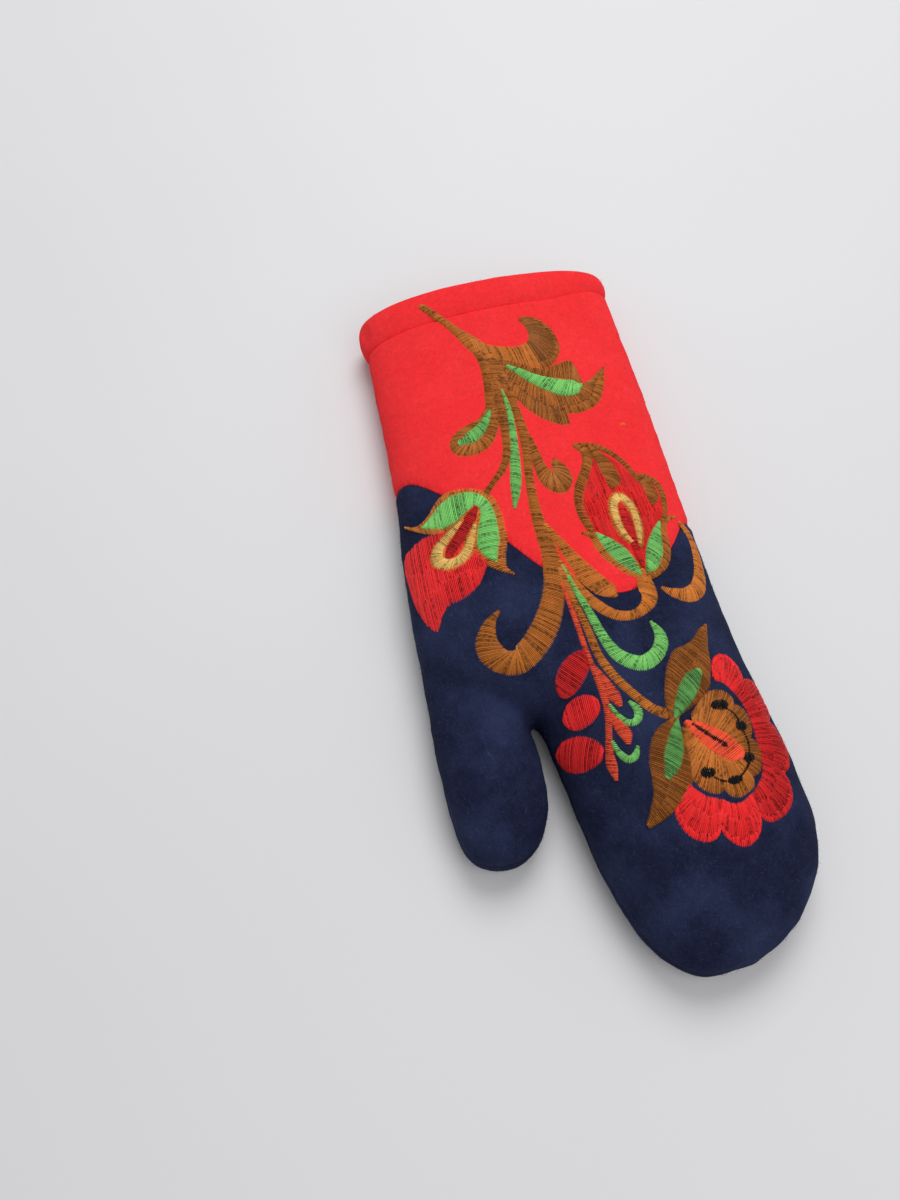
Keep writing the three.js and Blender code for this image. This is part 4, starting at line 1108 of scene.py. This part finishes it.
LINE_STEP = 1.1
PLAIN = ((-1, 1, 0.5),)
NARROWEST = 0.3
LEAST_CROWN = 0.2
MOST_CROWN = 0.5
CROWN_BY_WIDTH = 0.045
ROUND_FROM = 0.9
ROUND_LENGTH = 0.9
END_SHARES = np.array((0.4, 0.72, 0.93))
BESIDE = 0.6
LIFT = 6 * MM
OVAL_SHARES = (-0.97, -0.88, -0.7, -0.4, 0, 0.4, 0.7, 0.88, 0.97)


class Strip:
    """A strip of satin stitch along a line of (across, along, reach across, reach along).

    The reach leads from the middle to the edge called 1. Each band is (from, to, tone), where -1
    and 1 are the two edges. Level is the strip's height over the felt, and crown the height of its
    middle over that.
    """

    def __init__(self, line, bands=PLAIN, level=0.0, crown=None):
        self.line = line
        self.bands = bands
        self.level = level
        widest = np.linalg.norm(line[:, 2:], axis=1).max()
        by_width = min(LEAST_CROWN + CROWN_BY_WIDTH * widest, MOST_CROWN)
        self.crown = by_width if crown is None else crown


def ribbon(rows, bands=PLAIN, slant=0.3, round_ends=True, **options):
    """A strip from rows of (across, along, half width) down its middle."""
    rows = np.array(rows, float)
    if round_ends:
        first, last = rounded_end(rows[1], rows[0])[::-1], rounded_end(rows[-2], rows[-1])
        rows = np.concatenate((first, rows, last))
    line = spline(rows, LINE_STEP)
    way = np.gradient(line[:, :2], axis=0)
    way /= np.maximum(np.linalg.norm(way, axis=1), 1e-9)[:, None]
    reach = (np.column_stack((-way[:, 1], way[:, 0])) + slant * way) * np.maximum(line[:, 2:], NARROWEST)
    return Strip(np.column_stack((line[:, :2], reach)), bands, **options)


def fan(pairs, bands=PLAIN, **options):
    """A strip whose stitches run from its inner to its outer edge."""
    pairs = np.array(pairs, float)
    inner, outer = pairs[:, :2], pairs[:, 2:]
    middle_and_reach = np.column_stack(((inner + outer) / 2, (outer - inner) / 2))
    return Strip(spline(middle_and_reach, LINE_STEP), bands, **options)


def filled(columns, bands=PLAIN, **options):
    """A petal whose stitches all run lengthways, from its columns of (across, low, high)."""
    return fan([(across, low, across, high) for across, low, high in columns], bands, **options)


def widened(rows, more):
    return [(across, along, half + more) for across, along, half in rows]


def rounded_end(before, last):
    """Rows that round off the end of a ribbon, where it is wide enough."""
    if last[2] < ROUND_FROM:
        return np.empty((0, 3))
    way = (last[:2] - before[:2]) / np.linalg.norm(last[:2] - before[:2])
    halves = last[2] * np.sqrt(1 - END_SHARES ** 2)
    return np.column_stack((last[:2] + way * (END_SHARES * last[2] * ROUND_LENGTH)[:, None], halves))


def oval(across, along, half_length, half_width, turn=0.0):
    """Rows of a round spot, turned by an angle in degrees."""
    way_across, way_along = math.cos(math.radians(turn)), math.sin(math.radians(turn))
    rows = []
    for share in OVAL_SHARES:
        place = half_length * share
        half = half_width * math.sqrt(1 - share * share)
        rows.append((across + place * way_across, along + place * way_along, half))
    return rows


def spline(rows, step):
    """Points about step apart on a smooth line through the rows."""
    ends = np.concatenate((2 * rows[:1] - rows[1:2], rows, 2 * rows[-1:] - rows[-2:-1]))
    line = []
    for a, b, c, d in zip(ends, ends[1:], ends[2:], ends[3:]):
        count = max(2, int(math.ceil(np.linalg.norm(c - b) / step)))
        for t in np.arange(count) / count:
            curve = (2 * a - 5 * b + 4 * c - d) * t ** 2 + (3 * b - a - 3 * c + d) * t ** 3
            line.append(0.5 * (2 * b + (c - a) * t + curve))
    line.append(rows[-1])
    return np.array(line)


class Chart:
    """Places chart points on the finished felt."""

    def __init__(self):
        points, faces = arrays_of(bpy.data.objects[BED].data)
        hem_points, hem_faces = arrays_of(bpy.data.objects["felt_hem"].data)
        both = np.concatenate((points, hem_points))
        both_faces = np.concatenate((faces, hem_faces + len(points)))
        self.tree = BVHTree.FromPolygons(both.tolist(), both_faces.tolist())
        if GROUND not in bpy.data.objects:
            ground = new_object(GROUND, both, both_faces)
            ground.hide_render = True
        self.ground = bpy.data.objects[GROUND]

    def point(self, across, along):
        angle = across / CHART_RADIUS
        out = Vector((math.sin(angle), 0, math.cos(angle)))
        axis = Vector(((AXIS_X + SHIFT_X) * MM, (along + SHIFT_Y) * MM, AXIS_Z * MM))
        hit = self.tree.ray_cast(axis + out * CHART_REACH * MM, -out)[0]
        if hit is None:
            hit = self.tree.find_nearest(axis + out * reach_on_form(across, along) * MM)[0]
        return hit

    def frames(self, strip):
        """For each point of the strip's line: its place, its reach to the edge and its outward direction."""
        places, reaches, outs = [], [], []
        for across, along, reach_across, reach_along in strip.line:
            length = max(math.hypot(reach_across, reach_along), 1e-6)
            here = self.point(across, along)
            one = self.point(across + reach_across, along + reach_along)
            other = self.point(across - reach_across, along - reach_along)
            aside = BESIDE / length
            beside = self.point(across + aside * reach_along, along - aside * reach_across)
            reach = (one - other) / 2
            out = reach.cross(beside - here).normalized()
            if out.z * math.cos(across / CHART_RADIUS) + out.x * math.sin(across / CHART_RADIUS) < 0:
                out = -out
            places.append(here)
            reaches.append(reach)
            outs.append(out)
        return places, reaches, outs


def longer_edge(frames, start, stop):
    """The longer edge of a band, for its stitches to be spaced along."""
    lengths = []
    for edge in (start, stop):
        rail = [place + reach * edge for place, reach in zip(frames[0], frames[1])]
        lengths.append(sum((after - before).length for before, after in zip(rail, rail[1:])))
    return start if lengths[0] > lengths[1] else stop


PAD_SPOTS = (-0.92, -0.7, -0.45, -0.2, 0.05, 0.3, 0.55, 0.75, 0.92)
PAD_BELOW = 0.25
PAD_SINK = 0.5
# How much darker the padding is painted than its stitches: painted shade in the gaps between them.
PAD_SHADE = 0.4
PAD_COARSE_FROM = 8


def underlay(chart, strip, frames):
    """The padding below a strip's stitches: a thin closed body just under them."""
    rows_top, rows_low = [], []
    for place, reach, out in zip(*frames):
        top, low = [], []
        for spot in PAD_SPOTS:
            point = place + reach * spot
            hit = chart.tree.ray_cast(point + out * LIFT, -out)[0] or point
            height = strip.level + strip.crown * (1 - spot * spot) - PAD_BELOW
            top.append(hit + out * height * MM)
            low.append(hit - out * PAD_SINK * MM)
        rows_top.append(top)
        rows_low.append(low)
    count = len(PAD_SPOTS)
    ring = 2 * count
    points = []
    for top, low in zip(rows_top, rows_low):
        points += top + low[::-1]
    faces = []
    for row in range(len(rows_top) - 1):
        for i in range(ring):
            a, b = row * ring + i, row * ring + (i + 1) % ring
            faces.append((a, b, b + ring, a + ring))
    last = (len(rows_top) - 1) * ring
    for i in range(count - 1):
        other = ring - 1 - i
        faces.append((i + 1, i, other, other - 1))
        faces.append((last + i, last + i + 1, last + other - 1, last + other))
    return points, faces


STITCH_POINTS = 8
EDGE_POWER = 6.0
END_POWER = 0.45
EDGE_CALM = 0.75
EDGE_FALL = 0.7
LEAST_FALL = 0.3
RAY_LENGTH = 30 * MM
STITCH_WOBBLE = 0.24 * MM
STITCH_SINK = 0.35 * MM


def uneven_end(tree, name, amount, seed):
    """A stitch's end, moved at random, and less so at the strip's own edges."""
    edge = math_node(tree, "POWER", math_node(tree, "ABSOLUTE", named(tree, name)), EDGE_POWER)
    amount = times(tree, amount, minus(tree, 1.0, times(tree, edge, EDGE_CALM)))
    return plus(tree, named(tree, name), times(tree, amount, random_value(tree, -1.0, 1.0, seed)))


def stitch_tree():
    """Satin stitches laid across guide lines, pressed onto the ground and joined with the padding."""
    tree, entry = new_tree("Satin Stitches", (
        ("Ground", "Object"), ("Padding", "Object"), ("Spacing", "Float"), ("Radius", "Float"),
        ("Uneven Ends", "Float"), ("Sink", "Float"), ("Finish", "Material")))
    guide = add(tree, "GeometryNodeMeshToCurve", [("Mesh", entry["Geometry"])])
    rows = add(tree, "GeometryNodeResampleCurve", [
        ("Curve", guide.outputs[0]), ("Length", entry["Spacing"])], mode="LENGTH")
    start = uneven_end(tree, "start", entry["Uneven Ends"], 1)
    stop = uneven_end(tree, "stop", entry["Uneven Ends"], 2)
    rows = stored(tree, rows.outputs[0], "chance", random_value(tree, 0.0, 1.0, 3))
    rows = stored(tree, rows, "from", start)
    rows = stored(tree, rows, "to", stop)
    line = add(tree, "GeometryNodeMeshLine", [("Count", STITCH_POINTS), ("Offset", (0.0, 0.0, 0.0))])
    index = add(tree, "GeometryNodeInputIndex").outputs[0]
    line = stored(tree, line.outputs[0], "reach", math_node(tree, "DIVIDE", index, STITCH_POINTS - 1.0))
    placed = add(tree, "GeometryNodeInstanceOnPoints", [("Points", rows), ("Instance", line)])
    real = add(tree, "GeometryNodeRealizeInstances", [("Geometry", placed.outputs[0])]).outputs[0]
    reach = named(tree, "reach")
    span = minus(tree, named(tree, "to"), named(tree, "from"))
    along = plus(tree, named(tree, "from"), times(tree, span, reach))
    out = named(tree, "outward", "FLOAT_VECTOR")
    aside = scaled(tree, named(tree, "aside", "FLOAT_VECTOR"), minus(tree, along, named(tree, "rail")))
    flat = vector_node(tree, "ADD", add(tree, "GeometryNodeInputPosition").outputs[0], aside)
    ground = add(tree, "GeometryNodeObjectInfo", [("Object", entry["Ground"])]).outputs["Geometry"]
    ray = add(tree, "GeometryNodeRaycast", [
        ("Target Geometry", ground), ("Ray Direction", scaled(tree, out, -1.0)), ("Ray Length", RAY_LENGTH),
        ("Source Position", vector_node(tree, "ADD", flat, scaled(tree, out, LIFT)))])
    landed = add(tree, "GeometryNodeSwitch", [
        ("Switch", ray.outputs["Is Hit"]), ("False", flat), ("True", ray.outputs["Hit Position"])],
        input_type="VECTOR").outputs[0]
    ends = times(tree, reach, minus(tree, 1.0, reach), 4.0)
    ends = math_node(tree, "POWER", math_node(tree, "MAXIMUM", ends, 0.0), END_POWER)
    crown = math_node(tree, "MAXIMUM", minus(tree, 1.0, times(tree, along, along)), 0.0)
    edge = math_node(tree, "POWER", math_node(tree, "ABSOLUTE", along), EDGE_POWER)
    edge = math_node(tree, "MINIMUM", plus(tree, times(tree, edge, EDGE_FALL), LEAST_FALL), 1.0)
    fall = times(tree, minus(tree, 1.0, ends), edge)
    height = plus(tree, times(tree, crown, named(tree, "crown")), named(tree, "level"))
    height = times(tree, height, minus(tree, 1.0, fall))
    wobble = times(tree, minus(tree, named(tree, "chance"), 0.5), STITCH_WOBBLE)
    height = plus(tree, height, times(tree, wobble, ends))
    height = minus(tree, height, times(tree, entry["Sink"], fall))
    lifted = vector_node(tree, "ADD", landed, scaled(tree, out, height))
    laid = add(tree, "GeometryNodeSetPosition", [("Geometry", real), ("Position", lifted)])
    threads = add(tree, "GeometryNodeMeshToCurve", [("Mesh", laid.outputs[0])])
    profile = add(tree, "GeometryNodeCurvePrimitiveCircle", [("Resolution", 4), ("Radius", entry["Radius"])])
    body = add(tree, "GeometryNodeCurveToMesh", [
        ("Curve", threads.outputs[0]), ("Profile Curve", profile.outputs[0]), ("Fill Caps", True)])
    padding = add(tree, "GeometryNodeObjectInfo", [("Object", entry["Padding"])]).outputs["Geometry"]
    joined = tree.nodes.new("GeometryNodeJoinGeometry")
    tree.links.new(body.outputs[0], joined.inputs[0])
    tree.links.new(padding, joined.inputs[0])
    real = add(tree, "GeometryNodeRealizeInstances", [("Geometry", joined.outputs[0])])
    done = add(tree, "GeometryNodeSetMaterial", [
        ("Geometry", real.outputs[0]), ("Material", entry["Finish"])])
    smooth = add(tree, "GeometryNodeSetShadeSmooth", [("Geometry", done.outputs[0])])
    add(tree, "NodeGroupOutput", [("Geometry", smooth.outputs[0])])
    return tree


VECTOR_FIELDS = ("aside", "outward")
NUMBER_FIELDS = ("start", "stop", "rail", "tone", "level", "crown")


def embroider(chart, name, colour_name, strips, nodes=()):
    """One piece of embroidery in one thread."""
    settings = bpy.context.scene.mitten_thread
    points, edges = [], []
    fields = {field: [] for field in VECTOR_FIELDS + NUMBER_FIELDS}
    pad_points, pad_faces, pad_tones = [], [], []
    for strip in strips:
        frames = chart.frames(strip)
        for start, stop, tone in strip.bands:
            rail = longer_edge(frames, start, stop)
            edges += [(len(points) + i, len(points) + i + 1) for i in range(len(frames[0]) - 1)]
            points += [place + reach * rail for place, reach in zip(frames[0], frames[1])]
            fields["aside"] += frames[1]
            fields["outward"] += frames[2]
            numbers = (start, stop, rail, tone, strip.level * MM, strip.crown * MM)
            for field, number in zip(NUMBER_FIELDS, numbers):
                fields[field] += [number] * len(frames[0])
        coarse = [part[::2] if len(part) > PAD_COARSE_FROM else part for part in frames]
        new_points, new_faces = underlay(chart, strip, coarse)
        pad_faces += [tuple(len(pad_points) + i for i in face) for face in new_faces]
        pad_points += new_points
        # The padding shows between the stitches and is painted darker than them: painted shade in the gaps.
        pad_tones += [min(band[2] for band in strip.bands) - PAD_SHADE] * len(new_points)
    padding = new_object(name + "_padding", pad_points, pad_faces)
    store(padding.data, "tone", "FLOAT", pad_tones)
    store(padding.data, "chance", "FLOAT", [0.5] * len(pad_points))
    piece = new_object(name, points, (), edges, smooth=False)
    for field in VECTOR_FIELDS:
        store(piece.data, field, "FLOAT_VECTOR", fields[field])
    for field in NUMBER_FIELDS:
        store(piece.data, field, "FLOAT", fields[field])
    tree = bpy.data.node_groups.get("Satin Stitches") or stitch_tree()
    made_with(tree, piece, {
        "Ground": chart.ground, "Padding": padding, "Spacing": settings.spacing, "Radius": settings.radius,
        "Uneven Ends": settings.jitter, "Sink": STITCH_SINK, "Finish": thread_of(colour_name)})
    discard(padding)
    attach(piece, "root")
    if nodes:
        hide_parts(*nodes)


def stitch(chart, node, colour_name, *strips):
    """The embroidery of one node."""
    embroider(chart, "stitched_" + node, colour_name, strips, (node,))


def toned(tone):
    """One band of stitches from edge to edge."""
    return ((-1, 1, tone),)


def split(tone, other, place=0.0):
    """Two bands that meet inside the strip."""
    return ((-1, place + 0.05, tone), (place - 0.03, 1, other))


def grooved(tone, other, place):
    """Two bands with a groove between them."""
    return ((-1, place - 0.02, tone), (place + 0.02, 1, other))


def lengthways(tone):
    """Three bands of long stitches that run into each other."""
    return ((-1, -0.3, tone - 0.08), (-0.4, 0.35, tone + 0.05), (0.25, 1, tone - 0.03))


def rimmed(tone):
    """Two bands and a lighter rim outside a groove."""
    return ((-1, -0.15, tone), (-0.22, 0.64, tone - 0.08), (0.66, 1, tone + 0.12))


def stitch_scroll():
    chart = Chart()
    strips = [
        ribbon(STEM_CROWN, toned(0.3), level=-0.1),
        fan(BIG_LEAF_UPPER, toned(0.28)),
        fan(BIG_LEAF_LOWER, grooved(0.32, 0.24, 0.05)),
        fan(BIG_LEAF_TIP, grooved(0.32, 0.38, 0.1)),
        ribbon(DROP_STEM, toned(0.28)),
        fan(DROP_LEAF, toned(0.3)),
        ribbon(UPPER_STEM, toned(0.48), level=0.15),
        fan(UPPER_HOOK[:6], toned(0.5), level=0.1),
        fan(UPPER_HOOK[5:], grooved(0.12, 0.24, 0.6), level=0.1),
        ribbon(BUD_STEM, toned(0.3)),
        ribbon(MAIN_STEM, toned(0.35)),
        fan(COMMA_LEAF, toned(0.27)),
        ribbon(BROAD_BAND, toned(0.53)),
        ribbon(LOWER_LOOP, toned(0.52)),
        ribbon(LOWER_STEM, toned(0.46)),
        ribbon(TULIP_LEFT_LEAF, split(0.48, 0.4)),
        ribbon(TULIP_RIGHT_LEAF, split(0.3, 0.4)),
    ]
    embroider(chart, "stitched_scroll", "brown", strips, ("scroll_stem",))
    stitch(chart, "side_hook", "ochre", ribbon(SIDE_HOOK))
    stray = ribbon(STRAY_THREAD, toned(0.9), slant=0.0, round_ends=False, level=0.1, crown=0.1)
    embroider(chart, "stray_thread", "orange", [stray])
    greens = (
        ("big_leaf_centre", BIG_LEAF_CENTRE, 0.66, 0.6), ("drop_leaf_centre", DROP_CENTRE, 0.46, 0.6),
        ("green_blade", BLADE, 0.55, 0.2), ("green_hook", GREEN_HOOK, 0.56, 0.1),
    )
    for node, rows, tone, level in greens:
        stitch(chart, node, "green", ribbon(rows, toned(tone), level=level))


def stitch_bud():
    chart = Chart()
    setting = ribbon(widened(BUD_LOOP, 0.9), toned(0.6), level=0.35)
    stitch(chart, "bud_rim", "brown", fan(BUD_RIM, toned(0.55)), setting)
    stitch(chart, "bud_petal", "red", filled(BUD_PETAL, lengthways(0.74)))
    stitch(chart, "bud_calyx", "green", fan(BUD_CALYX, toned(0.66), level=0.6))
    stitch(chart, "bud_loop", "cream", ribbon(BUD_LOOP, toned(0.68), level=0.7))
    stitch(chart, "bud_core", "red", ribbon(BUD_CORE, toned(0.4), level=0.8))


def stitch_tulip():
    chart = Chart()
    rims = [
        ribbon(rows, toned(0.28), level=0.3) for rows in (TULIP_LEFT_RIM, TULIP_RIGHT_RIM, TULIP_LOBE_RIM)
    ]
    setting = ribbon(widened(TULIP_LOOP, 1.2), toned(0.5), level=0.55)
    stitch(chart, "tulip_rim", "brown", *rims, setting)
    stitch(chart, "tulip_petals", "crimson", filled(TULIP_PETALS, lengthways(0.62)))
    for node, rows in (("tulip_drop", TULIP_DROP), ("tulip_side_drop", TULIP_SIDE_DROP)):
        stitch(chart, node, "brown", ribbon(rows, toned(0.2), level=0.6))
    stitch(chart, "tulip_loop", "cream", ribbon(TULIP_LOOP, toned(0.68), level=0.9))
    stitch(chart, "tulip_core", "red", ribbon(TULIP_CORE, level=1.0))
    for side, rows in (("left", TULIP_LEFT_CENTRE), ("right", TULIP_RIGHT_CENTRE)):
        stitch(chart, "tulip_" + side + "_centre", "green", ribbon(rows, level=0.6))


def stitch_berries():
    chart = Chart()
    stalks = [ribbon(rows, toned(0.62)) for rows in (BERRY_STALK, LEAFLET_UPPER, LEAFLET_LOWER)]
    stitch(chart, "berry_stalk", "orange", *stalks)
    for side, tone in (("upper", 0.42), ("middle", 0.72), ("lower", 0.52)):
        berry = ribbon(oval(*BERRIES[side]), toned(tone), slant=0.15, round_ends=False)
        stitch(chart, "berry_" + side, "red", berry)
    for side, rows in (("upper", TENDRIL_UPPER), ("lower", TENDRIL_LOWER)):
        stitch(chart, "tendril_" + side, "green", ribbon(rows))


PETAL_TONES = (0.72, 0.46, 0.44, 0.5, 0.76, 0.76)
HEART_TONES = (0.36, 0.26, 0.26, 0.44, 0.5)


def stitch_flower():
    chart = Chart()
    leaves = [ribbon(rows, split(0.08, 0.15), level=0.5) for rows in (PAIR_UPPER_LEAF, PAIR_LOWER_LEAF)]
    stitch(chart, "leaf_pair", "brown", *leaves)
    for side, rows in (("upper", PAIR_UPPER_CENTRE), ("lower", PAIR_LOWER_CENTRE)):
        stitch(chart, "leaf_pair_" + side + "_centre", "green", ribbon(rows, toned(0.22), level=1.1))
    petals = [fan(rows, rimmed(tone)) for rows, tone in zip(PETALS, PETAL_TONES)]
    stitch(chart, "flower_petals", "red", *petals)
    heart = [
        fan(rows, split(tone, tone - 0.14, 0.25), level=0.3) for rows, tone in zip(FLOWER_HEART, HEART_TONES)
    ]
    stitch(chart, "flower_heart", "ochre", *heart)
    stitch(chart, "flower_tongue", "orange", ribbon(FLOWER_TONGUE, toned(0.82), level=0.8))
    spots = [ribbon(oval(*spot), slant=0.0, round_ends=False, level=0.75, crown=0.3) for spot in SPOTS]
    spots += [ribbon(rows, slant=0.0, round_ends=False, level=0.8, crown=0.2) for rows in SPOT_LINES]
    embroider(chart, "stitched_flower_spots", "black", spots)
    slot = ribbon(TONGUE_SLOT, slant=0.0, level=1.4, crown=0.15)
    embroider(chart, "stitched_tongue_slot", "black", [slot])


# Stage

EYE = Vector((-0.0856, -0.1461, 0.3759))
LOOK_AT = Vector((-0.0425, 0.0156, 0.0))
SENSOR_WIDTH = 36
NEAREST_SEEN = 0.01
FLOOR_HALF = 3
FLOOR_DROP = 0.0004
# Lamps: place, width and share of the key light's power
LAMPS = {"key": ((0.25, 0.75, 1.15), 0.9, 1.0), "fill": ((0.3, -0.5, 0.95), 0.9, 0.26)}


def set_stage(settings):
    corners = [(x * FLOOR_HALF, y * FLOOR_HALF, -FLOOR_DROP) for x, y in ((-1, -1), (1, -1), (1, 1), (-1, 1))]
    floor = new_object("floor", corners, ((0, 1, 2, 3),))
    material, tree, shader = new_finish("floor_finish")
    where = add(tree, "ShaderNodeTexCoord").outputs["Object"]
    cloud = between(tree, noise_at(tree, where, 3.0, 2.0), 0.3, 0.7)
    low = (*(0.97 * part for part in settings.floor), 1)
    tree.links.new(mixed(tree, cloud, low, (*settings.floor, 1)), shader.inputs["Base Color"])
    shader.inputs["Roughness"].default_value = 0.55
    shader.inputs["Specular IOR Level"].default_value = 0.3
    floor.data.materials.append(material)

    for name, (place, size, share) in LAMPS.items():
        lamp = bpy.data.lights.new(name, "AREA")
        lamp.shape = "DISK"
        lamp.size = size
        lamp.energy = share * settings.key
        light = bpy.data.objects.new(name, lamp)
        light.location = place
        light.rotation_euler = (-Vector(place)).to_track_quat("-Z", "Y").to_euler()
        bpy.context.scene.collection.objects.link(light)

    world = bpy.data.worlds.new("room")
    world.use_nodes = True
    back = world.node_tree.nodes["Background"]
    back.inputs["Color"].default_value = (1, 1, 1, 1)
    back.inputs["Strength"].default_value = settings.sky
    bpy.context.scene.world = world

    eye = bpy.data.cameras.new("camera")
    eye.lens = settings.lens
    eye.sensor_width = SENSOR_WIDTH
    eye.sensor_fit = "AUTO"
    eye.clip_start = NEAREST_SEEN
    camera = bpy.data.objects.new("camera", eye)
    camera.location = EYE
    camera.rotation_euler = (LOOK_AT - EYE).to_track_quat("-Z", "Y").to_euler()
    bpy.context.scene.collection.objects.link(camera)
    bpy.context.scene.camera = camera
    bpy.context.scene.view_settings.view_transform = "Standard"


class MITTEN_OT_felt_panels(bpy.types.Operator):
    """Make the four felt panels of the hand and cuff"""
    bl_idname = "mitten.felt_panels"
    bl_label = "Felt Panels"

    def execute(self, context):
        felt_panels(context.scene.mitten_felt)
        return {"FINISHED"}


class MITTEN_OT_cuff_hem(bpy.types.Operator):
    """Make the folded hem round the cuff's mouth"""
    bl_idname = "mitten.cuff_hem"
    bl_label = "Cuff Hem"

    def execute(self, context):
        cuff_hem(context.scene.mitten_felt)
        return {"FINISHED"}


class MITTEN_OT_loose_fibres(bpy.types.Operator):
    """Scatter loose wool fibres over the felt"""
    bl_idname = "mitten.loose_fibres"
    bl_label = "Loose Fibres"

    def execute(self, context):
        loose_fibres(context.scene.mitten_felt)
        return {"FINISHED"}


class MITTEN_OT_scroll(bpy.types.Operator):
    """Stitch the brown scroll with its leaves, hooks and green blades"""
    bl_idname = "mitten.scroll"
    bl_label = "Scroll"

    def execute(self, context):
        stitch_scroll()
        return {"FINISHED"}


class MITTEN_OT_bud(bpy.types.Operator):
    """Stitch the hanging bud"""
    bl_idname = "mitten.bud"
    bl_label = "Bud"

    def execute(self, context):
        stitch_bud()
        return {"FINISHED"}


class MITTEN_OT_tulip(bpy.types.Operator):
    """Stitch the tulip"""
    bl_idname = "mitten.tulip"
    bl_label = "Tulip"

    def execute(self, context):
        stitch_tulip()
        return {"FINISHED"}


class MITTEN_OT_berries(bpy.types.Operator):
    """Stitch the berries with their stalk and tendrils"""
    bl_idname = "mitten.berries"
    bl_label = "Berries"

    def execute(self, context):
        stitch_berries()
        return {"FINISHED"}


class MITTEN_OT_flower(bpy.types.Operator):
    """Stitch the large flower and the pair of leaves beside it"""
    bl_idname = "mitten.flower"
    bl_label = "Flower"

    def execute(self, context):
        stitch_flower()
        return {"FINISHED"}


class MITTEN_OT_stage(bpy.types.Operator):
    """Set the floor, the lamps and the camera"""
    bl_idname = "mitten.stage"
    bl_label = "Stage"

    def execute(self, context):
        set_stage(context.scene.mitten_stage)
        return {"FINISHED"}


OPERATORS = (
    MITTEN_OT_felt_panels, MITTEN_OT_cuff_hem, MITTEN_OT_loose_fibres, MITTEN_OT_scroll, MITTEN_OT_bud,
    MITTEN_OT_tulip, MITTEN_OT_berries, MITTEN_OT_flower, MITTEN_OT_stage,
)


class MITTEN_PT_sidebar(bpy.types.Panel):
    """The mitten's makers, in the order that they run"""
    bl_idname = "MITTEN_PT_sidebar"
    bl_label = "Felt Mitten"
    bl_space_type = "VIEW_3D"
    bl_region_type = "UI"
    bl_category = "Mitten"

    def draw(self, context):
        for operator in OPERATORS:
            self.layout.operator(operator.bl_idname)


GROUPS = (MittenFelt, MittenThread, MittenStage)


def register():
    for made in (*GROUPS, *OPERATORS, MITTEN_PT_sidebar):
        bpy.utils.register_class(made)
    bpy.types.Scene.mitten_felt = bpy.props.PointerProperty(type=MittenFelt)
    bpy.types.Scene.mitten_thread = bpy.props.PointerProperty(type=MittenThread)
    bpy.types.Scene.mitten_stage = bpy.props.PointerProperty(type=MittenStage)


def unregister():
    del bpy.types.Scene.mitten_stage, bpy.types.Scene.mitten_thread, bpy.types.Scene.mitten_felt
    for made in reversed((*GROUPS, *OPERATORS, MITTEN_PT_sidebar)):
        bpy.utils.unregister_class(made)


def main():
    register()
    bpy.ops.mitten.felt_panels()
    bpy.ops.mitten.cuff_hem()
    bpy.ops.mitten.scroll()
    bpy.ops.mitten.bud()
    bpy.ops.mitten.tulip()
    bpy.ops.mitten.berries()
    bpy.ops.mitten.flower()
    bpy.ops.mitten.loose_fibres()
    bpy.ops.mitten.stage()
    for name in (BED, GROUND):
        discard(bpy.data.objects[name])


if __name__ == "__main__":
    main()
